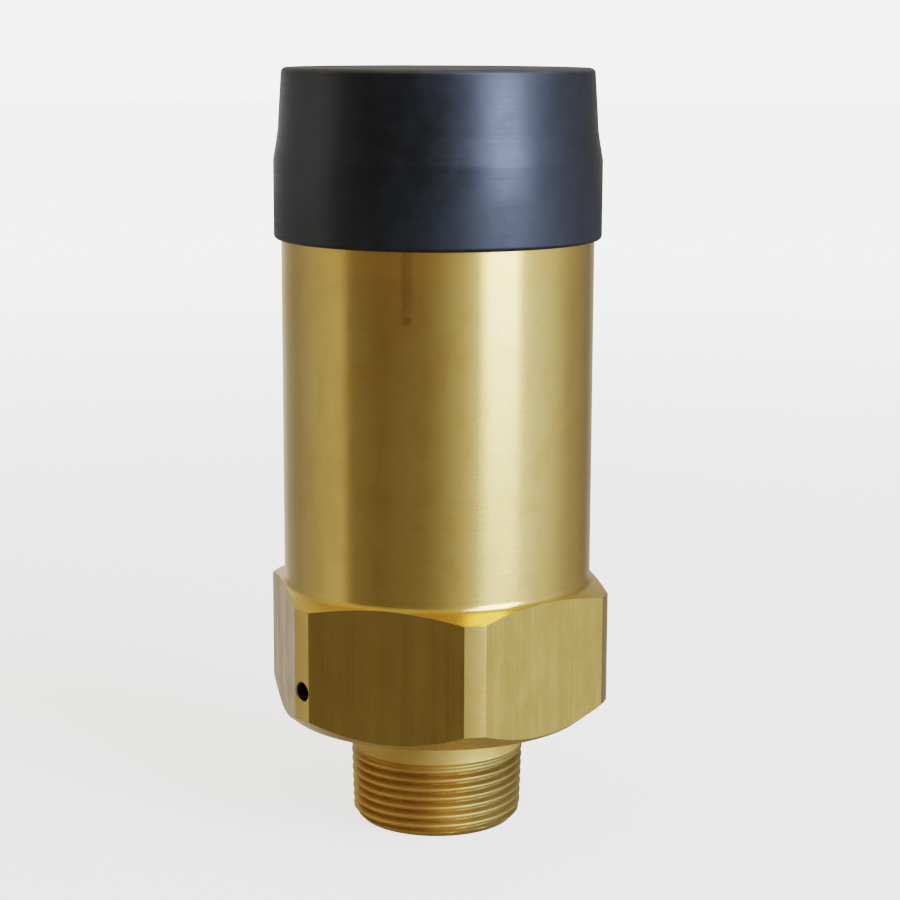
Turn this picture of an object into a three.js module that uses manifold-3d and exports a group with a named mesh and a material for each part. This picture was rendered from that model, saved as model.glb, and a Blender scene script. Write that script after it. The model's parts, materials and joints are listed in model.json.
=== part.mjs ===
// Automatic air vent. Water lifts the float, the float swings the lever, and the lever
// shuts a small valve in the bonnet under the cap. Millimetres, +Z up. The origin is the
// centre of the thread's end face. Everything is drawn at rest: float down, valve open.
import * as THREE from "three";
import { mergeVertices } from "three/addons/utils/BufferGeometryUtils.js";
import Module from "manifold-3d";

const wasm = await Module();
wasm.setup();

// ---- driving dimensions ------------------------------------------------------------
const GAP = 0.3; // between faces that touch
const FINE = 48; // steps round the large turned pieces
const MEDIUM = 36; // steps round the float, its guide and the rubber rings
const COARSE = 20; // steps round the small ones

// Taper pipe thread R 1 1/4, drawn as closed rings of the real pitch and depth.
const THREAD = { gaugeRadius: 20.955, gaugeHeight: 12.7, pitch: 2.309, depth: 1.479, length: 18.8 };
const NECK_RADIUS = 21.0;
const INLET_RADIUS = 15;

// Body, one piece turned from hexagon bar. A facet faces -Y.
const HEX = { flats: 76, corners: 85, bottom: 27.5, bottomRim: 36.75, cornerLow: 32.1, cornerHigh: 58.5 };
const HEX_TOP_SLOPE = THREE.MathUtils.degToRad(24);
const LEDGE_FILLET = 1.2;
const BODY_RADIUS = 37.25;
const BARREL_FROM = 65; // the hexagon's turning ends here and the plain cylinder begins
const NECKED_RADIUS = 34; // under the cap
const BODY_STEP = 148;
const BODY_TOP = 164;
const GRIP_RING = { groove: 32.5, from: 155.9, to: 158.1, section: 0.7 };
const CHAMBER = { radius: 30, floor: 52, coneRadius: 27, coneBottom: 40 };
const BONNET_THREAD = { radius: 31, from: 154 };
const SEAL_POCKET = { radius: 32.6, from: 162.2, section: 0.75 };
const PIN_HOLE = { radius: 2.15, depth: 10, height: 39, azimuth: -30 };

// Cap
const CAP = { bottom: 143, top: 183, radius: 39, coneRadius: 37.95, topRadius: 37 };
const CAP_STEP = { low: 162, high: 168 };
const CAP_INNER = { lip: 37.65, lipTop: 149.5, radius: 35, roof: 180 };
const CAP_RIB = { count: 6, halfWidth: 1.5, webHalfWidth: 1, webReach: 29 };

// Bonnet
const BONNET_BOTTOM = 155;
const BONNET_TOP = 169.3;
const BONNET_SKIRT = 26; // inner radius of the threaded skirt
const ROOF = 161; // underside of the bonnet, above the valve gear
const OUTLET = { boss: 9, top: 174, pocket: 6.5, floor: 169.8, bore: 4, grooveFrom: 172, grooveTo: 173.2 };
const SPANNER_HOLE = { radius: 2.5, x: 10, y: 20, floor: 166 };
const SCREEN = { from: 170.1, to: 170.9, holes: 6, hole: 0.9, holeCircle: 3.6 };
const SCREEN_RING = { outer: 6.8, inner: 4.9, gap: 40, from: 172.3, to: 172.9 };

// Valve gear: the float hangs on the vent's axis, the fulcrum and the seat lie in -X of it.
const FLOAT_ARM = 21;
const VALVE_ARM = 6;
const FULCRUM = { x: -FLOAT_ARM, z: 152.25 };
const SEAT_X = FULCRUM.x + VALVE_ARM;
const FLOAT_STROKE = 6;
const HALF_SWING = Math.asin(FLOAT_STROKE / 2 / FLOAT_ARM);
const VALVE_STROKE = (FLOAT_STROKE * VALVE_ARM) / FLOAT_ARM;
const LEVER = { thick: 1.2, halfWidth: 4.4, nose: 4.5, heel: -18.6, earFrom: 4.2, earThick: 1 };
const LEVER_HOLE = 2.1; // round the valve plug's shank
const LEVER_SLOT = { radius: 2, from: -0.7, to: 0.4 }; // round the stem, long enough for its swing
const LEVER_EAR = { radius: 3, bottom: -1.6, right: -10 };
const PIN_RADIUS = 1.5;
const PIN_HEAD = { radius: 2.5, thick: 1.6 };
const PIN_GROOVE = { radius: 1, from: 0.3, to: 1.2, end: 2 }; // measured from the bracket's cheek
const PIN_CLIP = { outer: 2.8, inner: 1.2, gap: 70, from: 0.45, thick: 0.6 };
const BRACKET = { thick: 1.5, cheekThick: 1.2, cheekFrom: 5.9, left: -24.5, bottom: 149.5 };
const BRACKET_FOOT = { left: -17, right: -4, halfWidth: 12.5, seatHole: 6.5 };
const SCREW = { x: -8, y: 9, radius: 1.7, head: 3.4, headThick: 2.2, top: 166.5, slotHalfWidth: 0.4 };
const SEAT = { lip: 157.6, lipRadius: 2.2, orifice: 1.2, shank: 3.7, top: 167.5, flats: 10 };
const SEAT_GASKET = { outer: 5.5, inner: 4.1, thick: 0.6 };

// The valve's moving pieces, drawn shut.
const PLUG = { foot: 149.6, shoulder: 154.6, cup: 155.5, rim: 156.9, radius: 3.6, cupRadius: 3.2 };
const DISC = { radius: 2.9, from: 155.8 };
const PLUG_NUT = { flats: 5, from: 150.2, to: 151.6 };

// Float and its guide
const FLOAT = { radius: 25, bottom: 62, top: 134, wall: 1, round: 6, joint: 101 };
const TOP_BOSS = { radius: 5, height: 4.7, bore: 2.3, boreFloor: 0.6 };
const STEM = { foot: 135.2, threadRadius: 2, threadTop: 142.1, radius: 2.5, collarRadius: 3.2, top: 153.6 };
const STEM_COLLAR = { from: 146.35, to: 147.85 }; // the lever rests on it
const LOCK_NUT = { flats: 8, from: 139.3, to: 141.8 };
const TOP_NUT = { flats: 5.5, from: 150.65, to: 153.05 };
const GUIDE_PIN = { radius: 2.5, bottom: 44, collar: 5 };
const HUB = { radius: 5.5, bore: 3, top: 56.8 };
const SPIDER = { bottom: CHAMBER.floor + GAP, thick: 2, rimInner: 25, armHalfWidth: 2.5, hubFoot: 1.8 };
const GUIDE_GROOVE = { radius: 31.2, from: 54.6, to: 56.2 };
const GUIDE_RING = { inner: 28, gap: 20, from: 54.75, to: 56.05 };
const RING_LUG = { radius: 1.8, hole: 0.8, circle: 28.2, angle: 13 };

// ---- shapes ------------------------------------------------------------------------
function solidOf(geometry) {
  geometry.deleteAttribute("normal");
  geometry.deleteAttribute("uv");
  const merged = mergeVertices(geometry, 1e-4);
  const vertices = merged.attributes.position.array;
  const triangles = [];
  for (let i = 0; i < merged.index.count; i += 3) {
    const [a, b, c] = [0, 1, 2].map((k) => merged.index.getX(i + k));
    if (a !== b && b !== c && c !== a) triangles.push(a, b, c);
  }
  if (signedVolume(vertices, triangles) < 0) triangles.reverse();
  const mesh = new wasm.Mesh({
    numProp: 3,
    vertProperties: new Float32Array(vertices),
    triVerts: new Uint32Array(triangles),
  });
  return new wasm.Manifold(mesh);
}

function signedVolume(vertices, triangles) {
  const corner = (k) => new THREE.Vector3().fromArray(vertices, 3 * triangles[k]);
  let volume = 0;
  for (let i = 0; i < triangles.length; i += 3) {
    volume += corner(i).dot(corner(i + 1).cross(corner(i + 2))) / 6;
  }
  return volume;
}

// A solid turned about Z from [radius, z] points, moved sideways by x and y.
function turned(points, segments = COARSE, x = 0, y = 0) {
  const profile = points.map(([radius, z]) => new THREE.Vector2(radius, z));
  const geometry = new THREE.LatheGeometry(profile, segments);
  geometry.rotateX(Math.PI / 2);
  geometry.translate(x, y, 0);
  return solidOf(geometry);
}

function rod(radius, from, to, x = 0, y = 0, segments = COARSE) {
  return turned([[0, from], [radius, from], [radius, to], [0, to]], segments, x, y);
}

function tube(outer, inner, from, to, segments = COARSE, x = 0, y = 0) {
  const points = [[inner, from], [outer, from], [outer, to], [inner, to], [inner, from]];
  return turned(points, segments, x, y);
}

function box(x0, x1, y0, y1, z0, z1) {
  const geometry = new THREE.BoxGeometry(x1 - x0, y1 - y0, z1 - z0);
  geometry.translate((x0 + x1) / 2, (y0 + y1) / 2, (z0 + z1) / 2);
  return solidOf(geometry);
}

function extruded(shape, from, to, curveSegments = 8) {
  const options = { depth: to - from, bevelEnabled: false, curveSegments };
  const geometry = new THREE.ExtrudeGeometry(shape, options);
  geometry.translate(0, 0, from);
  return solidOf(geometry);
}

// A hexagonal prism with corners on the X axis, so that a flat faces -Y.
function hexPrism(flats, from, to) {
  const corners = [];
  for (let i = 0; i < 6; i += 1) {
    const angle = (i * Math.PI) / 3;
    const direction = new THREE.Vector2(Math.cos(angle), Math.sin(angle));
    corners.push(direction.multiplyScalar(flats / Math.sqrt(3)));
  }
  return extruded(new THREE.Shape(corners), from, to);
}

function hexNut(flats, hole, from, to, x = 0) {
  return hexPrism(flats, from, to).translate([x, 0, 0]).subtract(rod(hole, from - 1, to + 1, x, 0, 16));
}

// Points of an arc in a profile, angles in degrees from the outward direction.
function arc(centreR, centreZ, radius, fromDegrees, toDegrees, steps) {
  const points = [];
  for (let i = 0; i <= steps; i += 1) {
    const angle = THREE.MathUtils.degToRad(fromDegrees + ((toDegrees - fromDegrees) * i) / steps);
    points.push([centreR + radius * Math.cos(angle), centreZ + radius * Math.sin(angle)]);
  }
  return points;
}

// An open spring ring in the XY plane, its gap towards +X.
function openRing(outer, inner, gapDegrees, from, to, segments) {
  const half = THREE.MathUtils.degToRad(gapDegrees / 2);
  const shape = new THREE.Shape();
  shape.absarc(0, 0, outer, half, 2 * Math.PI - half, false);
  shape.absarc(0, 0, inner, 2 * Math.PI - half, half, true);
  shape.closePath();
  return extruded(shape, from, to, segments);
}

// A rubber ring of round section.
function roundRing(centreR, centreZ, radius) {
  return turned(arc(centreR, centreZ, radius, 0, 360, 6), MEDIUM);
}

// ---- body --------------------------------------------------------------------------
function threadRadius(z) {
  return THREAD.gaugeRadius + (z - THREAD.gaugeHeight) / 32;
}

function threadProfile() {
  const points = [[0, 0], [threadRadius(0) - THREAD.depth, 0]];
  const turns = Math.floor(THREAD.length / THREAD.pitch);
  for (let turn = 0; turn < turns; turn += 1) {
    const crest = (turn + 0.75) * THREAD.pitch;
    points.push([threadRadius(crest), crest]);
    const root = (turn + 1.25) * THREAD.pitch;
    if (turn < turns - 1) points.push([threadRadius(root) - THREAD.depth, root]);
  }
  points.push([NECK_RADIUS, THREAD.length], [NECK_RADIUS, HEX.bottom + 1], [0, HEX.bottom + 1]);
  return points;
}

// The cone above the hexagon runs into the cylinder through a fillet.
function ledgeProfile() {
  const cone = (radius) => HEX.cornerHigh + (HEX.corners / 2 - radius) * Math.tan(HEX_TOP_SLOPE);
  const slope = THREE.MathUtils.radToDeg(HEX_TOP_SLOPE);
  const centreR = BODY_RADIUS + LEDGE_FILLET;
  const reach = LEDGE_FILLET / Math.cos(HEX_TOP_SLOPE);
  const centreZ = cone(centreR) + reach;
  return arc(centreR, centreZ, LEDGE_FILLET, 270 - slope, 180, 5);
}

function makeBody() {
  const corner = HEX.corners / 2;
  const hexZone = [
    [0, HEX.bottom],
    [HEX.bottomRim, HEX.bottom],
    [corner, HEX.cornerLow],
    [corner, HEX.cornerHigh],
    ...ledgeProfile(),
    [BODY_RADIUS, BARREL_FROM + 1],
    [0, BARREL_FROM + 1],
  ];
  const barrel = [
    [0, BARREL_FROM],
    [BODY_RADIUS, BARREL_FROM],
    [BODY_RADIUS, BODY_STEP - 0.8],
    [BODY_RADIUS - 0.8, BODY_STEP],
    [NECKED_RADIUS, BODY_STEP],
    [NECKED_RADIUS, BODY_TOP - 1],
    [NECKED_RADIUS - 1, BODY_TOP],
    [0, BODY_TOP],
  ];
  const inside = [
    [0, -1],
    [INLET_RADIUS + 1.5, -1],
    [INLET_RADIUS, 0.8],
    [INLET_RADIUS, CHAMBER.coneBottom],
    [CHAMBER.coneRadius, CHAMBER.floor],
    [CHAMBER.radius, CHAMBER.floor],
    [CHAMBER.radius, GUIDE_GROOVE.from],
    [GUIDE_GROOVE.radius, GUIDE_GROOVE.from],
    [GUIDE_GROOVE.radius, GUIDE_GROOVE.to],
    [CHAMBER.radius, GUIDE_GROOVE.to],
    [CHAMBER.radius, BONNET_THREAD.from],
    [BONNET_THREAD.radius, BONNET_THREAD.from],
    [BONNET_THREAD.radius, SEAL_POCKET.from],
    [SEAL_POCKET.radius, SEAL_POCKET.from],
    [SEAL_POCKET.radius, BODY_TOP + 1],
    [0, BODY_TOP + 1],
  ];
  const pinHole = rod(PIN_HOLE.radius, 0, PIN_HOLE.depth + 2, 0, 0, 16)
    .rotate([90, 0, 0])
    .translate([0, -(corner - PIN_HOLE.depth), PIN_HOLE.height])
    .rotate([0, 0, PIN_HOLE.azimuth]);
  return turned(hexZone, FINE)
    .intersect(hexPrism(HEX.flats, HEX.bottom - 5, BARREL_FROM + 5))
    .add(turned(threadProfile(), FINE))
    .add(turned(barrel, FINE))
    .subtract(turned(inside, FINE))
    .subtract(tube(NECKED_RADIUS + 1, GRIP_RING.groove, GRIP_RING.from, GRIP_RING.to, FINE))
    .subtract(pinHole);
}

// ---- cap ---------------------------------------------------------------------------
function makeCap() {
  const shell = [
    [0, CAP.top],
    ...arc(CAP.topRadius - 1.3, CAP.top - 1.3, 1.3, 90, 8, 3),
    [CAP.coneRadius, CAP_STEP.high],
    [CAP.radius, CAP_STEP.low],
    ...arc(CAP.radius - 1, CAP.bottom + 1, 1, 0, -90, 3),
    [CAP_INNER.lip, CAP.bottom],
    [CAP_INNER.lip, CAP_INNER.lipTop],
    [CAP_INNER.radius, CAP_INNER.lipTop + 1],
    [CAP_INNER.radius, CAP_INNER.roof],
    [0, CAP_INNER.roof],
  ];
  let cap = turned(shell, FINE);
  const ribFoot = CAP_INNER.lipTop + 2;
  const webFoot = BONNET_TOP + 2 * GAP;
  const wall = CAP_INNER.radius + 0.6;
  const roof = CAP_INNER.roof + 0.5;
  const { count, halfWidth, webHalfWidth, webReach } = CAP_RIB;
  for (let i = 0; i < count; i += 1) {
    const grip = box(NECKED_RADIUS + 0.5, wall, -halfWidth, halfWidth, ribFoot, roof);
    const web = box(webReach, wall, -webHalfWidth, webHalfWidth, webFoot, roof);
    cap = cap.add(grip.add(web).rotate([0, 0, (i * 360) / count]));
  }
  return cap;
}

// ---- bonnet and seals --------------------------------------------------------------
function makeBonnet() {
  const plug = BONNET_THREAD.radius - GAP;
  const outside = [
    [0, ROOF],
    [BONNET_SKIRT, ROOF],
    [BONNET_SKIRT, BONNET_BOTTOM],
    [plug - 0.8, BONNET_BOTTOM],
    [plug, BONNET_BOTTOM + 0.8],
    [plug, BODY_TOP + GAP],
    [NECKED_RADIUS - 0.2, BODY_TOP + GAP],
    [NECKED_RADIUS - 0.2, BONNET_TOP - 0.8],
    [NECKED_RADIUS - 1, BONNET_TOP],
    [0, BONNET_TOP],
  ];
  const spannerHole = rod(SPANNER_HOLE.radius, SPANNER_HOLE.floor, BONNET_TOP + 1, SPANNER_HOLE.x, 0, 16);
  let bonnet = turned(outside, FINE)
    .add(rod(OUTLET.boss, BONNET_TOP - 1, OUTLET.top, SEAT_X))
    .subtract(rod(OUTLET.pocket, OUTLET.floor, OUTLET.top + 1, SEAT_X))
    .subtract(tube(OUTLET.pocket + 0.6, OUTLET.pocket - 1, OUTLET.grooveFrom, OUTLET.grooveTo, COARSE, SEAT_X))
    .subtract(rod(OUTLET.bore, ROOF - 1, OUTLET.floor + 1, SEAT_X));
  for (const side of [-1, 1]) {
    bonnet = bonnet
      .subtract(rod(SCREW.radius + GAP, ROOF - 1, SCREW.top + 0.5, SCREW.x, side * SCREW.y, 16))
      .subtract(spannerHole.translate([0, side * SPANNER_HOLE.y, 0]));
  }
  return bonnet;
}

// The rubber ring the cap's ribs press on.
function makeGripRing() {
  const { groove, from, to, section } = GRIP_RING;
  return roundRing(groove + GAP + section, (from + to) / 2, section);
}

function makeBonnetRing() {
  const { radius, from, section } = SEAL_POCKET;
  return roundRing(radius - 0.2 - section, from + 0.25 + section, section);
}

function makeSeatGasket() {
  const { outer, inner, thick } = SEAT_GASKET;
  return tube(outer, inner, ROOF - GAP - thick, ROOF - GAP, COARSE, SEAT_X);
}

function makeScreenRing() {
  const { outer, inner, gap, from, to } = SCREEN_RING;
  return openRing(outer, inner, gap, from, to, 16).translate([SEAT_X, 0, 0]);
}

function makeValveSeat() {
  const shank = [
    [SEAT.orifice, SEAT.lip],
    [SEAT.lipRadius, SEAT.lip],
    [SEAT.lipRadius + 0.4, SEAT.lip + 0.6],
    [SEAT.shank, SEAT.lip + 0.6],
    [SEAT.shank, SEAT.top],
    [SEAT.orifice, SEAT.top],
    [SEAT.orifice, SEAT.lip],
  ];
  const flange = hexPrism(SEAT.flats, SEAT.lip + 0.6, ROOF - SEAT_GASKET.thick - 2 * GAP)
    .translate([SEAT_X, 0, 0])
    .subtract(rod(3, SEAT.lip, ROOF, SEAT_X));
  return turned(shank, COARSE, SEAT_X).add(flange);
}

function makeDustScreen() {
  const hole = rod(SCREEN.hole, SCREEN.from - 1, SCREEN.to + 1, 0, 0, 12);
  let screen = rod(OUTLET.pocket - GAP, SCREEN.from, SCREEN.to).subtract(hole);
  for (let i = 0; i < SCREEN.holes; i += 1) {
    const outer = hole.translate([SCREEN.holeCircle, 0, 0]);
    screen = screen.subtract(outer.rotate([0, 0, (i * 360) / SCREEN.holes]));
  }
  return screen.translate([SEAT_X, 0, 0]);
}

// ---- lever, bracket and pin --------------------------------------------------------
function makeBracket() {
  const top = ROOF - GAP;
  const edge = BRACKET.cheekFrom + BRACKET.cheekThick;
  const { left, right, halfWidth, seatHole } = BRACKET_FOOT;
  const outline = new THREE.Shape();
  outline.moveTo(BRACKET.left, -edge);
  outline.lineTo(left - 1.5, -edge);
  outline.lineTo(left, -halfWidth);
  outline.lineTo(right, -halfWidth);
  outline.lineTo(right, halfWidth);
  outline.lineTo(left, halfWidth);
  outline.lineTo(left - 1.5, edge);
  outline.lineTo(BRACKET.left, edge);
  outline.closePath();
  let bracket = extruded(outline, top - BRACKET.thick, top);
  for (const side of [-1, 1]) {
    const y0 = Math.min(side * BRACKET.cheekFrom, side * edge);
    const cheek = box(BRACKET.left, left - 0.5, y0, y0 + BRACKET.cheekThick, BRACKET.bottom, top);
    bracket = bracket
      .add(cheek)
      .subtract(rod(SCREW.radius + GAP, BRACKET.bottom, top + 1, SCREW.x, side * SCREW.y, 16));
  }
  const bore = rod(PIN_RADIUS + 0.1, -10, 10).rotate([90, 0, 0]).translate([FULCRUM.x, 0, FULCRUM.z]);
  return bracket.subtract(rod(seatHole, BRACKET.bottom, top + 1, SEAT_X)).subtract(bore);
}

function makeBracketScrew(side) {
  const headTop = ROOF - GAP - BRACKET.thick - GAP;
  const profile = [
    [0, headTop - SCREW.headThick],
    [SCREW.head - 0.8, headTop - SCREW.headThick],
    [SCREW.head, headTop - SCREW.headThick + 1],
    [SCREW.head, headTop],
    [SCREW.radius, headTop],
    [SCREW.radius, SCREW.top],
    [0, SCREW.top],
  ];
  const slotFloor = headTop - SCREW.headThick + 1;
  const { head, slotHalfWidth } = SCREW;
  const slot = box(-head, head, -slotHalfWidth, slotHalfWidth, slotFloor - 2, slotFloor);
  return turned(profile, 24)
    .subtract(slot)
    .translate([SCREW.x, side * SCREW.y, 0]);
}

// Drawn level about the fulcrum, then swung down to where it rests.
function makeLever() {
  const half = LEVER.thick / 2;
  const outline = new THREE.Shape();
  outline.moveTo(LEVER.heel, -LEVER.halfWidth);
  outline.lineTo(0, -LEVER.halfWidth);
  outline.absarc(0, 0, LEVER.nose, -Math.PI / 2, Math.PI / 2, false);
  outline.lineTo(LEVER.heel, LEVER.halfWidth);
  outline.closePath();
  const { radius, from, to } = LEVER_SLOT;
  const slot = rod(radius, -2, 2, from, 0, 16)
    .add(rod(radius, -2, 2, to, 0, 16))
    .add(box(from, to, -radius, radius, -2, 2));
  let lever = extruded(outline, -half, half, 12)
    .subtract(rod(LEVER_HOLE, -2, 2, SEAT_X, 0, 16))
    .subtract(slot);
  for (const side of [-1, 1]) {
    const y0 = side < 0 ? -LEVER.earFrom - LEVER.earThick : LEVER.earFrom;
    const eye = rod(LEVER_EAR.radius, y0, y0 + LEVER.earThick, 0, 0, 24).rotate([-90, 0, 0]);
    const strap = box(FULCRUM.x, LEVER_EAR.right, y0, y0 + LEVER.earThick, LEVER_EAR.bottom, half);
    lever = lever.add(eye.translate([FULCRUM.x, 0, 0])).add(strap);
  }
  const bore = rod(PIN_RADIUS + 0.1, -8, 8).rotate([90, 0, 0]).translate([FULCRUM.x, 0, 0]);
  return lever
    .subtract(bore)
    .translate([-FULCRUM.x, 0, 0])
    .rotate([0, THREE.MathUtils.radToDeg(HALF_SWING), 0])
    .translate([FULCRUM.x, 0, FULCRUM.z]);
}

function makeFulcrumPin() {
  const edge = BRACKET.cheekFrom + BRACKET.cheekThick;
  const profile = [
    [0, -edge - PIN_HEAD.thick],
    [PIN_HEAD.radius, -edge - PIN_HEAD.thick],
    [PIN_HEAD.radius, -edge - GAP],
    [PIN_RADIUS, -edge - GAP],
    [PIN_RADIUS, edge + PIN_GROOVE.from],
    [PIN_GROOVE.radius, edge + PIN_GROOVE.from],
    [PIN_GROOVE.radius, edge + PIN_GROOVE.to],
    [PIN_RADIUS, edge + PIN_GROOVE.to],
    [PIN_RADIUS, edge + PIN_GROOVE.end],
    [0, edge + PIN_GROOVE.end],
  ];
  return turned(profile).rotate([-90, 0, 0]).translate([FULCRUM.x, 0, FULCRUM.z]);
}

function makeFulcrumClip() {
  const from = BRACKET.cheekFrom + BRACKET.cheekThick + PIN_CLIP.from;
  return openRing(PIN_CLIP.outer, PIN_CLIP.inner, PIN_CLIP.gap, from, from + PIN_CLIP.thick, 12)
    .rotate([-90, 0, 0])
    .translate([FULCRUM.x, 0, FULCRUM.z]);
}

// ---- valve, drawn shut and lowered to rest -----------------------------------------
function lowered(solid) {
  return solid.translate([0, 0, -VALVE_STROKE]);
}

function makeValvePlug() {
  const profile = [
    [0, PLUG.foot],
    [PIN_RADIUS, PLUG.foot],
    [PIN_RADIUS, PLUG.shoulder],
    [PLUG.radius - 0.4, PLUG.shoulder],
    [PLUG.radius, PLUG.shoulder + 0.4],
    [PLUG.radius, PLUG.rim],
    [PLUG.cupRadius, PLUG.rim],
    [PLUG.cupRadius, PLUG.cup],
    [0, PLUG.cup],
  ];
  return lowered(turned(profile, COARSE, SEAT_X));
}

function makeValveDisc() {
  return lowered(rod(DISC.radius, DISC.from, SEAT.lip - GAP, SEAT_X));
}

function makeValvePlugNut() {
  return lowered(hexNut(PLUG_NUT.flats, PIN_RADIUS + GAP, PLUG_NUT.from, PLUG_NUT.to, SEAT_X));
}

// ---- float -------------------------------------------------------------------------
function makeUpperShell() {
  const { radius, top, wall, round, joint } = FLOAT;
  return turned([
    [0, top],
    ...arc(radius - round, top - round, round, 90, 0, 4),
    [radius, joint],
    [radius - wall, joint],
    ...arc(radius - round, top - round, round - wall, 0, 90, 4),
    [0, top - wall],
  ], MEDIUM);
}

// The rim of the lower shell is necked in and slips inside the upper one.
function makeLowerShell() {
  const { radius, bottom, wall, round, joint } = FLOAT;
  const neck = radius - wall - GAP;
  return turned([
    [0, bottom],
    ...arc(radius - round, bottom + round, round, -90, 0, 4),
    [radius, joint - GAP],
    [neck, joint - GAP],
    [neck, joint + 4],
    [neck - wall, joint + 4],
    [neck - wall, joint - GAP - 1.5],
    [radius - wall, joint - GAP - 3],
    ...arc(radius - round, bottom + round, round - wall, 0, -90, 4),
    [0, bottom + wall],
  ], MEDIUM);
}

function makeTopBoss() {
  const from = FLOAT.top + GAP;
  const bore = rod(TOP_BOSS.bore, from + TOP_BOSS.boreFloor, from + TOP_BOSS.height + 1);
  return rod(TOP_BOSS.radius, from, from + TOP_BOSS.height).subtract(bore);
}

function makeFloatStem() {
  return turned([
    [0, STEM.foot],
    [STEM.threadRadius, STEM.foot],
    [STEM.threadRadius, STEM.threadTop],
    [STEM.radius, STEM.threadTop],
    [STEM.radius, STEM_COLLAR.from],
    [STEM.collarRadius, STEM_COLLAR.from],
    [STEM.collarRadius, STEM_COLLAR.to],
    [PIN_RADIUS, STEM_COLLAR.to],
    [PIN_RADIUS, STEM.top],
    [0, STEM.top],
  ]);
}

function makeGuidePin() {
  const collar = HUB.top + GAP;
  return turned([
    [0, GUIDE_PIN.bottom],
    [GUIDE_PIN.radius - 1, GUIDE_PIN.bottom],
    [GUIDE_PIN.radius, GUIDE_PIN.bottom + 1],
    [GUIDE_PIN.radius, collar],
    [GUIDE_PIN.collar, collar],
    [GUIDE_PIN.collar, FLOAT.bottom - GAP],
    [0, FLOAT.bottom - GAP],
  ]);
}

// ---- guide -------------------------------------------------------------------------
function makeGuideSpider() {
  const { bottom, thick, rimInner, armHalfWidth, hubFoot } = SPIDER;
  const arm = box(HUB.bore, rimInner + 1, -armHalfWidth, armHalfWidth, bottom, bottom + thick);
  let spider = tube(CHAMBER.radius - GAP, rimInner, bottom, bottom + thick, MEDIUM);
  for (const angle of [0, 120, 240]) {
    spider = spider.add(arm.rotate([0, 0, angle]));
  }
  return spider
    .add(rod(HUB.radius, bottom - hubFoot, HUB.top))
    .subtract(rod(HUB.bore, bottom - hubFoot - 1, HUB.top + 1));
}

function makeGuideRing() {
  const { inner, gap, from, to } = GUIDE_RING;
  const eye = rod(RING_LUG.radius, from, to, RING_LUG.circle, 0, 16);
  const hole = rod(RING_LUG.hole, from - 1, to + 1, RING_LUG.circle, 0, 12);
  let ring = openRing(GUIDE_GROOVE.radius - GAP, inner, gap, from, to, 24);
  for (const angle of [-RING_LUG.angle, RING_LUG.angle]) {
    ring = ring.add(eye.rotate([0, 0, angle])).subtract(hole.rotate([0, 0, angle]));
  }
  return ring;
}

// ---- assembly ----------------------------------------------------------------------
const METALS = {
  brass: { color: 0xb08d45, roughness: 0.35, metalness: 1 },
  steel: { color: 0xb9bcc0, roughness: 0.3, metalness: 1 },
};
const PLASTICS = {
  blackPlastic: { color: 0x1b1c20, roughness: 0.5, metalness: 0 },
  rubber: { color: 0x222222, roughness: 0.85, metalness: 0 },
  fibre: { color: 0x7a5a40, roughness: 0.8, metalness: 0 },
};
const FINISHES = { ...METALS, ...PLASTICS };

const vent = new THREE.Group();

function addPiece(name, finish, solid) {
  const { vertProperties, triVerts } = solid.getMesh();
  const geometry = new THREE.BufferGeometry();
  geometry.setAttribute("position", new THREE.BufferAttribute(new Float32Array(vertProperties), 3));
  geometry.setIndex(new THREE.BufferAttribute(new Uint32Array(triVerts), 1));
  geometry.computeVertexNormals();
  const mesh = new THREE.Mesh(geometry, new THREE.MeshStandardMaterial(FINISHES[finish]));
  mesh.name = name;
  vent.add(mesh);
}

addPiece("body", "brass", makeBody());
addPiece("cap", "blackPlastic", makeCap());
addPiece("cap_grip_ring", "rubber", makeGripRing());
addPiece("bonnet", "brass", makeBonnet());
addPiece("bonnet_o_ring", "rubber", makeBonnetRing());
addPiece("valve_seat", "steel", makeValveSeat());
addPiece("seat_gasket", "fibre", makeSeatGasket());
addPiece("dust_screen", "steel", makeDustScreen());
addPiece("screen_retaining_ring", "steel", makeScreenRing());

addPiece("lever_bracket", "steel", makeBracket());
addPiece("bracket_screw_left", "steel", makeBracketScrew(-1));
addPiece("bracket_screw_right", "steel", makeBracketScrew(1));
addPiece("fulcrum_pin", "steel", makeFulcrumPin());
addPiece("fulcrum_clip", "steel", makeFulcrumClip());
addPiece("lever", "steel", makeLever());

addPiece("valve_plug", "brass", makeValvePlug());
addPiece("valve_disc", "rubber", makeValveDisc());
addPiece("valve_plug_nut", "steel", makeValvePlugNut());

addPiece("float_upper_shell", "steel", makeUpperShell());
addPiece("float_lower_shell", "steel", makeLowerShell());
addPiece("float_top_boss", "brass", makeTopBoss());
addPiece("float_stem", "steel", makeFloatStem());
addPiece("stem_lock_nut", "steel", hexNut(LOCK_NUT.flats, TOP_BOSS.bore, LOCK_NUT.from, LOCK_NUT.to));
addPiece("stem_top_nut", "steel", hexNut(TOP_NUT.flats, PIN_RADIUS + GAP, TOP_NUT.from, TOP_NUT.to));
addPiece("float_guide_pin", "brass", makeGuidePin());

addPiece("guide_spider", "brass", makeGuideSpider());
addPiece("guide_retaining_ring", "steel", makeGuideRing());

export default vent;
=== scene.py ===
"""Automatic air vent: its looks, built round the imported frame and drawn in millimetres."""

import json
from math import acos, asin, cos, degrees, hypot, inf, pi, radians, sin, sqrt, tan

import bpy
import bmesh
import numpy as np
from mathutils import Matrix, Vector


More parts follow.
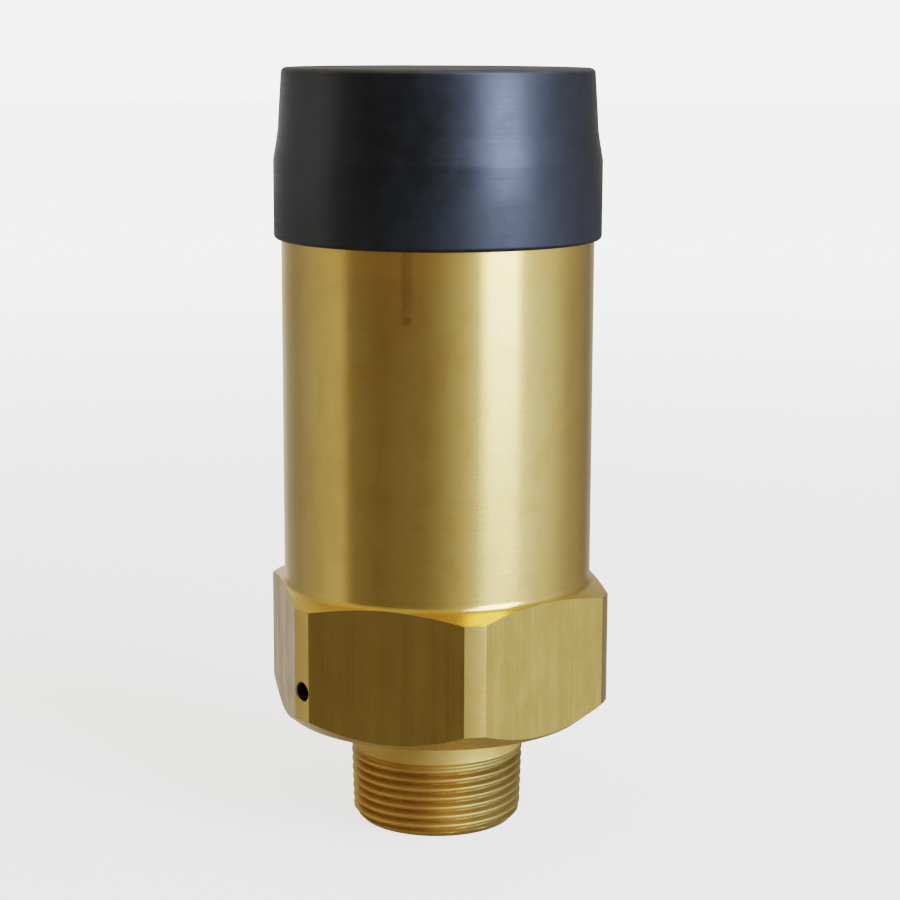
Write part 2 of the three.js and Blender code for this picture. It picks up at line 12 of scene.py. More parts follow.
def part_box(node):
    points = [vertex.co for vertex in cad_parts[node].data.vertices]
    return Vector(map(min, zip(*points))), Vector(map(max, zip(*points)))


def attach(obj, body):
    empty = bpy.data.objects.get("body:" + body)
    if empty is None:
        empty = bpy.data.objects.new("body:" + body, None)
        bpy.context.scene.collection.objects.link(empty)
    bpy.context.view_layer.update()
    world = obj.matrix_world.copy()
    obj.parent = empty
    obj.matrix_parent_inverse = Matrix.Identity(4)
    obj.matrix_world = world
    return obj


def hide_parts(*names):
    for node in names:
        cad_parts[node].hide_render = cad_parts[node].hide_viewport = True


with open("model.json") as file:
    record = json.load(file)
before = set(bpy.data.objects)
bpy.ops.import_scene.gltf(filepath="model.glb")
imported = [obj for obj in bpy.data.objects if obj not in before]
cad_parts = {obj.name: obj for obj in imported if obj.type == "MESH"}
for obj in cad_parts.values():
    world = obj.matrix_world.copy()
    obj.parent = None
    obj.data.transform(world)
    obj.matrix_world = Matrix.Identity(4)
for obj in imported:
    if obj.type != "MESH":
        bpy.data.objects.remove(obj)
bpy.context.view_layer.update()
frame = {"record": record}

MM = 0.001
TAU = 2 * pi

# ---- dimensions, from the frame where it states them ----
def span(node, axis=2):
    """Lowest and highest coordinate of a CAD node along an axis."""
    low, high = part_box(node)
    return low[axis] / MM, high[axis] / MM


BODY_TOP = span("body")[1]
HEX_APOTHEM = span("body", 1)[1]
HEX_CORNER = span("body", 0)[1]
CAP_BOTTOM, CAP_TOP = span("cap")
CAP_RADIUS = span("cap", 0)[1]
BONNET_BOTTOM, OUTLET_TOP = span("bonnet")
FLOAT_RADIUS = span("float_upper_shell", 0)[1]
FLOAT_JOINT, FLOAT_TOP = span("float_upper_shell")
FLOAT_BOTTOM = span("float_lower_shell")[0]
SEAT_X = sum(span("valve_seat", 0)) / 2
SEAT_LIP, SEAT_TOP = span("valve_seat")
FULCRUM_X = sum(span("fulcrum_pin", 0)) / 2
FULCRUM_Z = sum(span("fulcrum_pin")) / 2

BODY_RADIUS = 37.25
NECKED_RADIUS = 34.0
BODY_STEP = 148.0
INLET_BORE = 15.0
THREAD_PITCH = 2.309
THREAD_DEPTH = 1.479
THREAD_LENGTH = 18.8
THREAD_TAPER = 1 / 32
GAUGE_RADIUS, GAUGE_HEIGHT = 20.955, 12.7
NECK_RADIUS = 21.0
HEX_BOTTOM, HEX_RIM = 27.5, 36.75
CORNER_LOW, CORNER_HIGH = 32.1, 58.5
LEDGE_SLOPE = radians(24)
LEDGE_FILLET = 1.8
CAP_SHOULDER = 168.0
HOLE_RADIUS, HOLE_DEPTH, HOLE_HEIGHT, HOLE_AZIMUTH = 2.15, 10, 39, radians(-30)
CHAMBER_RADIUS, CHAMBER_FLOOR = 30.0, 52.0
BONNET_RADIUS, BONNET_PITCH, BONNET_DEPTH = 31.0, 1.5, 0.45
GAP = 0.3
BONNET_TOP = 169.3
ROOF = 161.0
FLOAT_ARM, FLOAT_STROKE = 21.0, 6.0
HALF_SWING = asin(FLOAT_STROKE / 2 / FLOAT_ARM)
PIN_RADIUS, STEM_RADIUS = 1.5, 2.0
SCREW_X, SCREW_Y, SCREW_RADIUS, SCREW_HEAD = -8.0, 9.0, 1.7, 3.4

CAMERA_AZIMUTH = radians(18.2)


# ---- mesh helpers ----
def linked(name, data):
    obj = bpy.data.objects.new(name, data)
    bpy.context.scene.collection.objects.link(obj)
    return obj


def new_object(name, vertices, faces):
    """A mesh object from millimetre coordinates, with its faces turned outwards."""
    mesh = bpy.data.meshes.new(name)
    mesh.from_pydata((np.asarray(vertices, float) * MM).tolist(), [], faces)
    mesh.validate()
    obj = linked(name, mesh)
    shell = bmesh.new()
    shell.from_mesh(mesh)
    bmesh.ops.recalc_face_normals(shell, faces=shell.faces)
    if shell.calc_volume(signed=True) < 0:
        bmesh.ops.reverse_faces(shell, faces=shell.faces)
    shell.to_mesh(mesh)
    shell.free()
    return obj


def finished(obj, angle=35):
    """Smooth shading with sharp edges kept, and faces that stay flat beside rounded edges."""
    obj.data.shade_smooth()
    obj.data.set_sharp_from_angle(angle=radians(angle))
    obj.modifiers.new("normals", "WEIGHTED_NORMAL").keep_sharp = True
    return obj


def boolean(obj, tool, operation):
    """Cuts or joins one object with another, which is then removed."""
    modifier = obj.modifiers.new("cut", "BOOLEAN")
    modifier.operation = operation
    modifier.solver = "EXACT"
    modifier.object = tool
    bpy.context.view_layer.update()
    evaluated = obj.evaluated_get(bpy.context.evaluated_depsgraph_get())
    mesh = bpy.data.meshes.new_from_object(evaluated)
    obj.modifiers.clear()
    obj.data = mesh
    bpy.data.objects.remove(tool)


def cut(obj, *tools):
    for tool in tools:
        boolean(obj, tool, "DIFFERENCE")


def join(obj, *pieces):
    for piece in pieces:
        boolean(obj, piece, "UNION")


def bevel(obj, width, segments=2, angle=25, low=-inf, high=inf):
    """Rounds the edges sharper than the angle whose middles lie between two heights."""
    shell = bmesh.new()
    shell.from_mesh(obj.data)
    bmesh.ops.remove_doubles(shell, verts=shell.verts, dist=1e-7)
    edges = []
    for edge in shell.edges:
        middle = (edge.verts[0].co.z + edge.verts[1].co.z) / 2 / MM
        if low <= middle <= high and len(edge.link_faces) == 2:
            if edge.calc_face_angle() > radians(angle):
                edges.append(edge)
    settings = {"segments": segments, "profile": 0.5, "affect": "EDGES", "clamp_overlap": True}
    bmesh.ops.bevel(shell, geom=edges, offset=width * MM, **settings)
    shell.to_mesh(obj.data)
    shell.free()


def rounded(profile, radius, steps=3):
    """Rounds a profile's corners. A profile that starts on the axis keeps its two ends."""
    almost_straight, longest_share = -0.94, 0.45
    points = [np.array(point, float) for point in profile]
    closed = points[0][0] > 1e-6
    result = []
    for i, here in enumerate(points):
        before, after = points[i - 1] - here, points[(i + 1) % len(points)] - here
        reach_before, reach_after = np.linalg.norm(before), np.linalg.norm(after)
        at_end = not closed and i in (0, len(points) - 1)
        if at_end or np.dot(before, after) < almost_straight * reach_before * reach_after:
            result.append(tuple(map(float, here)))
            continue
        reach = min(radius, longest_share * reach_before, longest_share * reach_after)
        start, end = here + before / reach_before * reach, here + after / reach_after * reach
        for t in np.linspace(0, 1, steps + 1):
            point = (1 - t) ** 2 * start + 2 * t * (1 - t) * here + t * t * end
            result.append(tuple(map(float, point)))
    return result


def stairs(radius, height, *values):
    """A stepped profile: each further value is by turns the next radius and the next height."""
    points = [(radius, height)]
    for i, value in enumerate(values):
        radius, height = (radius, value) if i % 2 else (value, height)
        points.append((radius, height))
    return points


def polar(radius, angle):
    return radius * cos(angle), radius * sin(angle)


def even(steps):
    return np.linspace(0, TAU, steps, endpoint=False)


def thread(radius, low, high, pitch, depth, angles, steps=12, fade_low=True):
    """Rings of a helical thread: round crests at the radius, roots a depth below them."""
    flank_slope, crest_width, run_out_turns = 2.35, 0.175, 0.9
    rings = []
    for z in np.arange(low, high + pitch / steps / 2, pitch / steps):
        phase = (z / pitch - angles / TAU) % 1.0
        flank = np.clip(np.abs(phase - 0.5) * flank_slope - crest_width, 0, 1)
        relief = depth * flank * flank * (3 - 2 * flank)
        run_out = (high - z) / (run_out_turns * pitch)
        if fade_low:
            run_out = min(run_out, (z - low) / (run_out_turns * pitch))
        rings.append((radius(z) - relief * min(1, max(0, run_out)), z))
    return rings


def threaded(profile, low, high, pitch, depth, angles):
    """Puts a thread on the straight stretch of a profile that covers the two heights."""
    for i, ((radius, start), (next_radius, end)) in enumerate(zip(profile, profile[1:])):
        straight = np.max(np.abs(radius - next_radius)) < 1e-6 and np.ndim(radius) == 0
        if straight and min(start, end) <= low and max(start, end) >= high:
            rings = thread(lambda z: radius, low, high, pitch, depth, angles)
            return profile[: i + 1] + (rings if end > start else rings[::-1]) + profile[i + 1 :]
    raise ValueError("the profile has no straight stretch there")


def lathe(name, rings, angles, x=0.0, y=0.0):
    """A solid from rings of (radius, height) about Z, closed on the axis or on its first ring."""
    vertices, rows = [], []
    for radius, z in rings:
        count = 1 if np.ndim(radius) == 0 and radius < 1e-6 else len(angles)
        rows.append(range(len(vertices), len(vertices) + count))
        turns, heights = angles[:count], np.broadcast_to(z, count)
        vertices += zip(x + radius * np.cos(turns), y + radius * np.sin(turns), heights)
    pairs = list(zip(rows, rows[1:]))
    if len(rows[0]) > 1:
        pairs.append((rows[-1], rows[0]))
    faces = []
    for low, high in pairs:
        for j in range(len(angles)):
            k = (j + 1) % len(angles)
            corners = [low[j % len(low)], low[k % len(low)]]
            corners += [high[k % len(high)], high[j % len(high)]]
            face = tuple(dict.fromkeys(corners))
            if len(face) > 2:
                faces.append(face)
    return new_object(name, vertices, faces)


def turned(name, profile, steps=64, x=0.0, y=0.0, soft=0.15):
    return lathe(name, rounded(profile, soft), even(steps), x, y)


def drill(radius, low, high, x=0.0, y=0.0, low_flare=0.0, high_flare=0.0):
    """A cutting tool for a round hole, with its mouths opened out by a small chamfer."""
    profile = stairs(0, low - 1, radius + low_flare, low)
    profile += [(radius, low + low_flare), (radius, high - high_flare)]
    profile += [(radius + high_flare, high), (radius + high_flare, high + 1), (0, high + 1)]
    distinct = [point for i, point in enumerate(profile) if i == 0 or point != profile[i - 1]]
    return lathe("drill", distinct, even(40), x, y)


def arc(centre_u, centre_v, radius, start, end, steps):
    """Points of an arc, angles in degrees from the first axis."""
    points = []
    for angle in np.radians(np.linspace(start, end, steps + 1)):
        u, v = polar(radius, angle)
        points.append((centre_u + u, centre_v + v))
    return points


def prism(name, outline, low, high, along="Z"):
    """An outline extruded along an axis. Along Y it lies in X and Z, along X in Y and Z."""
    order = {"Z": (0, 1, 2), "Y": (0, 2, 1), "X": (2, 0, 1)}[along]
    ends = [[(u, v, w) for u, v in outline] for w in (low, high)]
    vertices = [[point[k] for k in order] for point in ends[0] + ends[1]]
    count = len(outline)
    faces = [tuple(range(count)), tuple(range(count, 2 * count))]
    faces += [(i, (i + 1) % count, count + (i + 1) % count, count + i) for i in range(count)]
    return new_object(name, vertices, faces)


def box(name, x0, x1, y0, y1, z0, z1):
    return prism(name, [(x0, y0), (x1, y0), (x1, y1), (x0, y1)], z0, z1)


def open_ring(name, outer, inner, gap, low, high, steps=64):
    """A spring ring with its gap towards +X. The inner radius is a function of the angle."""
    angles = np.radians(np.linspace(gap / 2, 360 - gap / 2, steps))
    outline = [polar(outer, angle) for angle in angles]
    outline += [polar(inner(angle), angle) for angle in angles[::-1]]
    return prism(name, outline, low, high)


def hex_nut(name, flats, hole, low, high, x=0.0):
    corner, face = flats / sqrt(3), 0.48 * flats
    chamfer = (corner - face) * tan(radians(30))
    nut = prism(name, [polar(corner, angle) for angle in even(6)], low, high)
    profile = [(0, low), (face, low), (corner, low + chamfer)]
    profile += [(corner, high - chamfer), (face, high), (0, high)]
    boolean(nut, lathe("chamfers", profile, even(60)), "INTERSECT")
    cut(nut, drill(hole, low, high, low_flare=0.25, high_flare=0.25))
    bevel(nut, 0.08, angle=40)
    return moved(nut, x)


def moved(obj, x=0.0, y=0.0, z=0.0, turn=0.0, axis="Z"):
    """Turns a piece's mesh about the origin, then moves it."""
    place = Matrix.Translation(Vector((x, y, z)) * MM)
    obj.data.transform(place @ Matrix.Rotation(turn, 4, axis))
    return obj


# ---- body ----
def body_columns():
    """Angles round the body from +X, closer in the turned corners, one on each corner's edge."""
    half_facet = acos(HEX_APOTHEM / HEX_CORNER)
    half_corner = radians(30) - half_facet
    columns = []
    for i in range(6):
        centre = radians(60 * i - 90)
        columns += list(centre + np.linspace(-half_facet, half_facet, 27)[:-1])
        columns += list(centre + half_facet + np.linspace(0, 2 * half_corner, 6)[:-1])
    return np.array(columns)


def hex_radius(angles):
    """Radius of the hexagon with turned corners."""
    half = radians(30)
    off_centre = (angles + radians(90) + half) % (2 * half) - half
    return np.minimum(HEX_CORNER, HEX_APOTHEM / np.cos(off_centre))


def pipe_thread(angles):
    """The taper thread, with its chamfered start and its run-out."""
    start_radius, start_slope, steps = 18.85, 0.95, 22
    crest = lambda z: GAUGE_RADIUS + (z - GAUGE_HEIGHT) * THREAD_TAPER
    rings = thread(crest, 0, THREAD_LENGTH, THREAD_PITCH, THREAD_DEPTH, angles, steps, False)
    return [(np.minimum(radius, start_radius + start_slope * z), z) for radius, z in rings]


def ledge_rings(rim):
    """From the hexagon's upper edge in along the cone and up the fillet into the cylinder."""
    slope_cos, slope_sin = cos(LEDGE_SLOPE), sin(LEDGE_SLOPE)
    centre_r = BODY_RADIUS + LEDGE_FILLET
    foot_r = centre_r - LEDGE_FILLET * slope_sin
    foot_z = CORNER_HIGH + (HEX_CORNER - foot_r) * tan(LEDGE_SLOPE)
    centre_z = foot_z + LEDGE_FILLET * slope_cos
    start = TAU - np.arccos((np.minimum(rim, foot_r) - centre_r) / LEDGE_FILLET)
    cone = np.maximum(rim - foot_r, 0) / slope_cos
    total = cone + (start - pi) * LEDGE_FILLET
    rings = []
    for share in np.linspace(0, 1, 15):
        on_cone = np.minimum(share * total, cone)
        turn = start - (share * total - on_cone) / LEDGE_FILLET
        radius = centre_r + LEDGE_FILLET * np.cos(turn) + (cone - on_cone) * slope_cos
        height = centre_z + LEDGE_FILLET * np.sin(turn) - (cone - on_cone) * slope_sin
        rings.append((radius, height))
    return rings


def chamber_profile():
    """From the barrel's top over the rim, down the chamber and out through the thread's bore."""
    pocket, pocket_floor, thread_foot = 32.6, 162.2, 154
    grip = (NECKED_RADIUS, 155.9, NECKED_RADIUS - 1.5, 158.1, NECKED_RADIUS)
    guide = (CHAMBER_RADIUS, 56.2, CHAMBER_RADIUS + 1.2, 54.6, CHAMBER_RADIUS)
    profile = [(BODY_RADIUS, BODY_STEP - 1.5)]
    profile += stairs(BODY_RADIUS - 0.8, BODY_STEP, *grip, BODY_TOP - 1)
    steps = (pocket, pocket_floor, BONNET_RADIUS, thread_foot, *guide, CHAMBER_FLOOR, 27)
    profile += stairs(NECKED_RADIUS - 1, BODY_TOP, *steps)
    return profile + [(INLET_BORE, z) for z in (40, 20, 1.2)] + [(16.2, 0.12), (17.5, 0.02)]


def make_body():
    angles = body_columns()
    rim = hex_radius(angles)
    foot = HEX_BOTTOM + (rim - HEX_RIM) * (CORNER_LOW - HEX_BOTTOM) / (HEX_CORNER - HEX_RIM)
    ledge = ledge_rings(rim)
    head = ledge[0][1]
    fillet = 0.8
    rings = pipe_thread(angles)
    rings += [(NECK_RADIUS, THREAD_LENGTH + 0.35), (NECK_RADIUS, HEX_BOTTOM - fillet)]
    rings += arc(NECK_RADIUS + fillet, HEX_BOTTOM - fillet, fillet, 180, 90, 4)[1:]
    rings += [(30, HEX_BOTTOM), (HEX_RIM, HEX_BOTTOM)]
    rings += [(rim, foot + t * (head - foot)) for t in (0.0, 0.25, 0.5, 0.75)] + ledge
    rings += [(BODY_RADIUS, z) for z in np.linspace(66, BODY_STEP - 2, 12)]
    chamber = rounded(chamber_profile(), 0.25)
    rings += threaded(chamber, 154.6, 161.8, BONNET_PITCH, -BONNET_DEPTH, angles)
    obj = lathe("body_turned", rings, angles)
    cut(obj, pin_hole_tool())
    bevel(obj, 0.22, low=HEX_BOTTOM - 0.1, high=BODY_STEP / 2)
    assign_body_materials(obj)
    return finished(obj, 40)


def assign_body_materials(obj):
    """The turned faces, the hexagon's drawn flats, the thread with its neck, and the painted shade
    in the hole.
    """
    for material in (barrel_brass(), facet_brass(), thread_brass(), hole_grime()):
        obj.data.materials.append(material)
    inward = (sin(HOLE_AZIMUTH), -cos(HOLE_AZIMUTH))
    for face in obj.data.polygons:
        x, y, z = (value / MM for value in face.center)
        radius = hypot(x, y)
        on_flat = abs(face.normal.z) < 0.1 and HEX_APOTHEM - 0.5 < radius < HEX_CORNER - 0.15
        if on_flat and HEX_BOTTOM < z < CORNER_HIGH + 3:
            face.material_index = 1
        elif z < HEX_BOTTOM - 0.1 and radius > INLET_BORE + 1.5:
            face.material_index = 2
        off_axis = hypot(x * inward[1] - y * inward[0], z - HOLE_HEIGHT)
        near_hole = x * inward[0] + y * inward[1] > HEX_APOTHEM / 2
        if near_hole and off_axis < HOLE_RADIUS + 0.02:
            face.material_index = 3


def pin_hole_tool():
    """The drill for the small blind hole in one turned corner, with its point."""
    radius, mouth, flared, end = HOLE_RADIUS, HOLE_DEPTH - 0.1, HOLE_RADIUS + 0.35, HOLE_DEPTH + 2
    profile = [(0, -radius * 0.6), (radius, 0), (radius, mouth - 0.25)]
    profile += [(flared, mouth + 0.1), (flared, end), (0, end)]
    tool = lathe("drill", profile, even(40))
    moved(tool, turn=radians(90), axis="X")
    moved(tool, y=-(HEX_CORNER - HOLE_DEPTH), z=HOLE_HEIGHT)
    return moved(tool, turn=HOLE_AZIMUTH)


# ---- cap ----
def make_cap():
    """Its outside follows the photo's outline: a drafted side, a shoulder, and a straight skirt."""
    bore, roof, skirt, edge, lip = 35.0, 180.0, 37.65, 1.3, 1.0
    outside = [(0, CAP_TOP), (20, CAP_TOP)] + arc(35.7, CAP_TOP - edge, edge, 90, 8, 8)
    outside += [(37.45, 175), (37.85, 168.6), (37.98, 167.6), (38.35, 165.2), (38.82, 162.6)]
    outside += [(CAP_RADIUS, 161.4), (CAP_RADIUS, 153)]
    outside += arc(CAP_RADIUS - lip, CAP_BOTTOM + lip, lip, 0, -90, 6)
    inside = [(skirt, CAP_BOTTOM), (skirt, 149.5), (bore, 150.5), (bore, roof)]
    inside += [(3.5, roof), (3, roof + 0.4), (0, roof + 0.4)]
    cap = lathe("cap_moulded", rounded(outside + inside, 0.4), even(180))
    for i in range(6):
        rib = box("rib", bore - 0.5, bore + 0.6, -1.5, 1.5, 151.5, roof + 0.5)
        join(rib, box("web", 29, bore + 0.6, -1, 1, 169.9, roof + 0.5))
        bevel(rib, 0.25)
        join(cap, moved(rib, turn=radians(60 * i)))
    return finished(cap, 32)


# ---- bonnet and seals ----
def make_bonnet():
    plug, cover, angles = BONNET_RADIUS - GAP, BODY_TOP + GAP, even(144)
    profile = stairs(0, ROOF, 26, BONNET_BOTTOM, plug - 0.8)
    profile += [(plug, BONNET_BOTTOM + 0.8)]
    profile += stairs(plug, cover, NECKED_RADIUS - 0.2, BONNET_TOP - 0.8)
    profile += [(NECKED_RADIUS - 1, BONNET_TOP), (0, BONNET_TOP)]
    rings = threaded(rounded(profile, 0.2), 156.4, 163.6, BONNET_PITCH, BONNET_DEPTH, angles)
    bonnet = lathe("bonnet_turned", rings, angles)
    boss = stairs(0, 168.3, 9.9, 169.2) + arc(9.9, 170.2, 0.9, 270, 180, 4)[1:]
    boss += [(9, OUTLET_TOP - 0.7), (8.3, OUTLET_TOP), (0, OUTLET_TOP)]
    join(bonnet, lathe("boss", boss, even(80), SEAT_X))
    cut(bonnet, outlet_tool())
    for side in (-1, 1):
        place = (SCREW_X, side * SCREW_Y)
        cut(bonnet, drill(SCREW_RADIUS + GAP, ROOF, 166, *place, low_flare=0.3))
        cut(bonnet, drill(2.5, 167, BONNET_TOP, 10, side * 20, high_flare=0.35))
    return finished(bonnet)


def outlet_tool():
    """The bore for the valve seat, the pocket of the dust screen and the groove of its ring."""
    bore, pocket, groove = 4, 6.5, 7.1
    profile = stairs(0, ROOF - 1, bore + 0.4, ROOF) + [(bore, ROOF + 0.4)]
    profile += stairs(bore, 169.8, pocket, 172, groove, 173.2, pocket, 173.6)
    profile += [(pocket + 0.4, OUTLET_TOP), (pocket + 0.4, 175), (0, 175)]
    return lathe("outlet", profile, even(64), SEAT_X)


def round_ring(name, centre_r, centre_z, radius):
    return finished(lathe(name, arc(centre_r, centre_z, radius, 0, 345, 23), even(160)), 60)


def make_valve_seat():
    """Orifice with a raised lip, hexagon, and threaded shank."""
    flange_low, flange_high, shank, orifice = SEAT_LIP + 0.6, ROOF - 1.2, 3.7, 1.2
    profile = [(orifice, SEAT_LIP), (2.2, SEAT_LIP)]
    profile += stairs(2.6, flange_low, shank, flange_high)
    profile += [(shank, SEAT_TOP - 0.4), (shank - 0.4, SEAT_TOP)]
    profile += [(orifice + 0.5, SEAT_TOP), (orifice, SEAT_TOP - 0.5)]
    angles = even(64)
    rings = threaded(rounded(profile, 0.15), flange_high + 1, SEAT_TOP - 0.7, 0.8, 0.3, angles)
    seat = lathe("valve_seat_turned", rings, angles, SEAT_X)
    join(seat, hex_nut("flange", 10, 3, flange_low, flange_high, SEAT_X))
    return finished(seat)


def make_seat_gasket():
    low, high = span("seat_gasket")
    profile = stairs(4.1, low, 5.5, high, 4.1)
    return finished(turned("seat_gasket_pressed", profile, x=SEAT_X, soft=0.2))


def make_dust_screen():
    low, high = span("dust_screen")
    left, right = span("dust_screen", 0)
    profile = stairs(0, low, (right - left) / 2, high, 0)
    screen = turned("dust_screen_pierced", profile, soft=0.2)
    for x, y in [(0, 0)] + [polar(3.6, angle) for angle in even(6)]:
        cut(screen, drill(0.9, low, high, x, y, 0.15, 0.15))
    return finished(moved(screen, SEAT_X))


def make_screen_ring():
    low, high = span("screen_retaining_ring")
    ring = open_ring("screen_ring_bent", 6.8, lambda angle: 4.9, 40, low, high, 48)
    bevel(ring, 0.12, 3, 40)
    return finished(moved(ring, SEAT_X))


# ---- lever, bracket and pin ----
def make_bracket():
    """A pressed strap: its two cheeks are bent down through a radius and rounded at the foot."""
    left, low = span("lever_bracket", 0)[0], span("lever_bracket")[0]
    top = ROOF - GAP
    under, outer, inner, right = top - 1.5, 7.1, 5.9, -17.5
    bend, inner_bend, corner = 1.8, 0.5, 3.2
    channel = [(-outer, low)] + arc(-outer + bend, top - bend, bend, 180, 90, 6)
    channel += arc(outer - bend, top - bend, bend, 90, 0, 6) + [(outer, low), (inner, low)]
    channel += arc(inner - inner_bend, under - inner_bend, inner_bend, 0, 90, 4)
    channel += arc(-inner + inner_bend, under - inner_bend, inner_bend, 90, 180, 4)
    channel += [(-inner, low)]
    bracket = prism("lever_bracket_pressed", channel, left, right, "X")
    side = [(left, top + 1)] + arc(left + corner, low + corner, corner, 180, 270, 8)
    side += arc(right - corner, low + corner, corner, 270, 360, 8) + [(right, top + 1)]
    boolean(bracket, prism("side", side, -9, 9, "Y"), "INTERSECT")
    foot = [(-19, -5), (-18.5, -outer), (-17, -12.5), (-4, -12.5)]
    foot += [(x, -y) for x, y in foot[::-1]]
    join(bracket, prism("foot", rounded(foot, 1.5, 5), under, top))
    cut(bracket, drill(6.5, under, top, SEAT_X))
    for y in (-SCREW_Y, SCREW_Y):
        cut(bracket, drill(SCREW_RADIUS + GAP, under, top, SCREW_X, y))
    cut(bracket, moved(pin_bore(9), FULCRUM_X, 0, FULCRUM_Z))
    bevel(bracket, 0.18, angle=35)
    return finished(bracket)


def pin_bore(reach):
    return moved(drill(PIN_RADIUS + 0.1, -reach, reach), turn=radians(90), axis="X")


def make_bracket_screw(node, side):
    """A slotted pan head under a threaded shank, drawn head down."""
    head_low, tip = span(node)
    under_head = ROOF - 1.5 - 3 * GAP + 0.3
    head, shank, angles = SCREW_HEAD, SCREW_RADIUS, even(56)
    profile = [(0, head_low)] + arc(head - 1, head_low + 1, 1, 270, 360, 5)
    profile += [(head, under_head), (shank, under_head)]
    profile += [(shank, tip - 0.4), (shank - 0.4, tip), (0, tip)]
    rings = threaded(rounded(profile, 0.12), under_head + 0.6, tip - 0.7, 0.7, 0.25, angles)
    screw = lathe(node + "_turned", rings, angles)
    cut(screw, box("slot", -head - 1, head + 1, -0.4, 0.4, head_low - 1, head_low + 1))
    return finished(moved(screw, SCREW_X, side * SCREW_Y, turn=radians(25 * side)))


def make_fulcrum_pin():
    low, high = span("fulcrum_pin", 1)
    head, groove, edge = 2.5, 1, 7.1
    profile = stairs(0, low, head, -edge - GAP, PIN_RADIUS, edge + 0.3, groove)
    profile += stairs(groove, edge + 1.2, PIN_RADIUS, high, 0)
    pin = turned("fulcrum_pin_turned", profile, 48, soft=0.2)
    moved(pin, turn=radians(-90), axis="X")
    return finished(moved(pin, FULCRUM_X, 0, FULCRUM_Z))


def make_fulcrum_clip():
    """An E-clip: its tongues bear on the pin, with relief between them."""
    low, high = span("fulcrum_clip", 1)
    bore = lambda angle: 1.2 + 0.45 * max(0.0, cos(3 * angle))
    clip = open_ring("fulcrum_clip_stamped", 2.8, bore, 70, low, high, 60)
    bevel(clip, 0.08, 2, 40)
    moved(clip, turn=radians(-90), axis="X")
    return finished(moved(clip, FULCRUM_X, 0, FULCRUM_Z))


def make_lever():
    """Drawn level with the fulcrum at the origin, then swung down to where it rests."""
    half, wide = 0.6, 4.4
    reach = -FULCRUM_X
    outline = [(reach - 18.6, -wide)] + arc(reach, 0, 4.5, -78, 78, 20) + [(reach - 18.6, wide)]
    lever = prism("lever_pressed", rounded(outline, 1.0, 4), -half, half)
    for y in (-5.2, 4.2):
        ear = arc(0, 0, 3, 12, 328, 30) + [(11, -1.6), (11, half)]
        join(lever, prism("ear", ear, y, y + 1, "Y"))
    slot = arc(reach + 0.4, 0, 2, -90, 90, 12) + arc(reach - 0.7, 0, 2, 90, 270, 12)
    cut(lever, prism("slot", slot, -2, 2), drill(2.1, -half, half, reach + SEAT_X))
    cut(lever, pin_bore(8))
    bevel(lever, 0.15, angle=35)
    moved(lever, turn=HALF_SWING, axis="Y")
    return finished(moved(lever, FULCRUM_X, 0, FULCRUM_Z))


# ---- valve ----
def make_valve_plug():
    foot, rim = span("valve_plug")
    shoulder, head, cup = foot + 5, 3.6, 3.2
    profile = stairs(0, foot, PIN_RADIUS, shoulder, head - 0.4) + [(head, shoulder + 0.4)]
    profile += stairs(head, rim, cup, rim - 1.4, 0)
    angles = even(56)
    rings = threaded(rounded(profile, 0.15), foot + 0.3, foot + 2.4, 0.5, 0.2, angles)
    return finished(lathe("valve_plug_turned", rings, angles, SEAT_X))


def make_valve_disc():
    low, high = span("valve_disc")
    profile = [(0, low), (2.9, low), (2.9, high - 0.1), (2.6, high), (1.5, high), (0, high - 0.08)]
    return finished(turned("valve_disc_moulded", profile, 56, SEAT_X, soft=0.2))


def make_nut(node, flats, thread_radius, x=0.0):
    low, high = span(node)
    return finished(hex_nut(node + "_cut", flats, thread_radius + GAP, low, high, x))


# ---- float ----
def shell_end(height, inwards, wall):
    """Profile of a shell's end, from the axis outwards, with a pressed stiffening ring."""
    flat = height + wall * inwards
    pressed = flat + 0.6 * inwards
    return [(0, flat), (8.5, flat), (9.5, pressed), (13.5, pressed), (14.5, flat)]


def make_upper_shell():
    radius, wall, bend = FLOAT_RADIUS, 1.0, 6.0
    profile = shell_end(FLOAT_TOP, -1, 0) + arc(radius - bend, FLOAT_TOP - bend, bend, 90, 0, 10)
    profile += [(radius, FLOAT_JOINT), (radius - wall, FLOAT_JOINT)]
    profile += arc(radius - bend, FLOAT_TOP - bend, bend - wall, 0, 90, 10)
    profile += shell_end(FLOAT_TOP, -1, wall)[::-1]
    return finished(turned("float_upper_shell_drawn", profile, 120, soft=0.3))


def make_lower_shell():
    """Its rim is necked in and slips inside the upper shell."""
    radius, wall, bend = FLOAT_RADIUS, 1.0, 6.0
    neck, shoulder = radius - wall - GAP, FLOAT_JOINT - GAP
    centre = (radius - bend, FLOAT_BOTTOM + bend)
    profile = shell_end(FLOAT_BOTTOM, 1, 0) + arc(*centre, bend, -90, 0, 10)
    profile += stairs(radius, shoulder, neck, FLOAT_JOINT + 4, neck - wall)
    profile += [(neck - wall, shoulder - 1.5), (radius - wall, shoulder - 3)]
    profile += arc(*centre, bend - wall, 0, -90, 10)
    profile += shell_end(FLOAT_BOTTOM, 1, wall)[::-1]
    return finished(turned("float_lower_shell_drawn", profile, 120, soft=0.3))


def make_top_boss():
    low, high = span("float_top_boss")
    hole, foot = 2.3, low + 0.6
    profile = stairs(0, low, 5, low + 0.5) + [(4.6, low + 1), (4.6, high)]
    profile += [(hole + 0.3, high), (hole, high - 0.3), (hole, foot), (0, foot)]
    return finished(turned("float_top_boss_turned", profile))


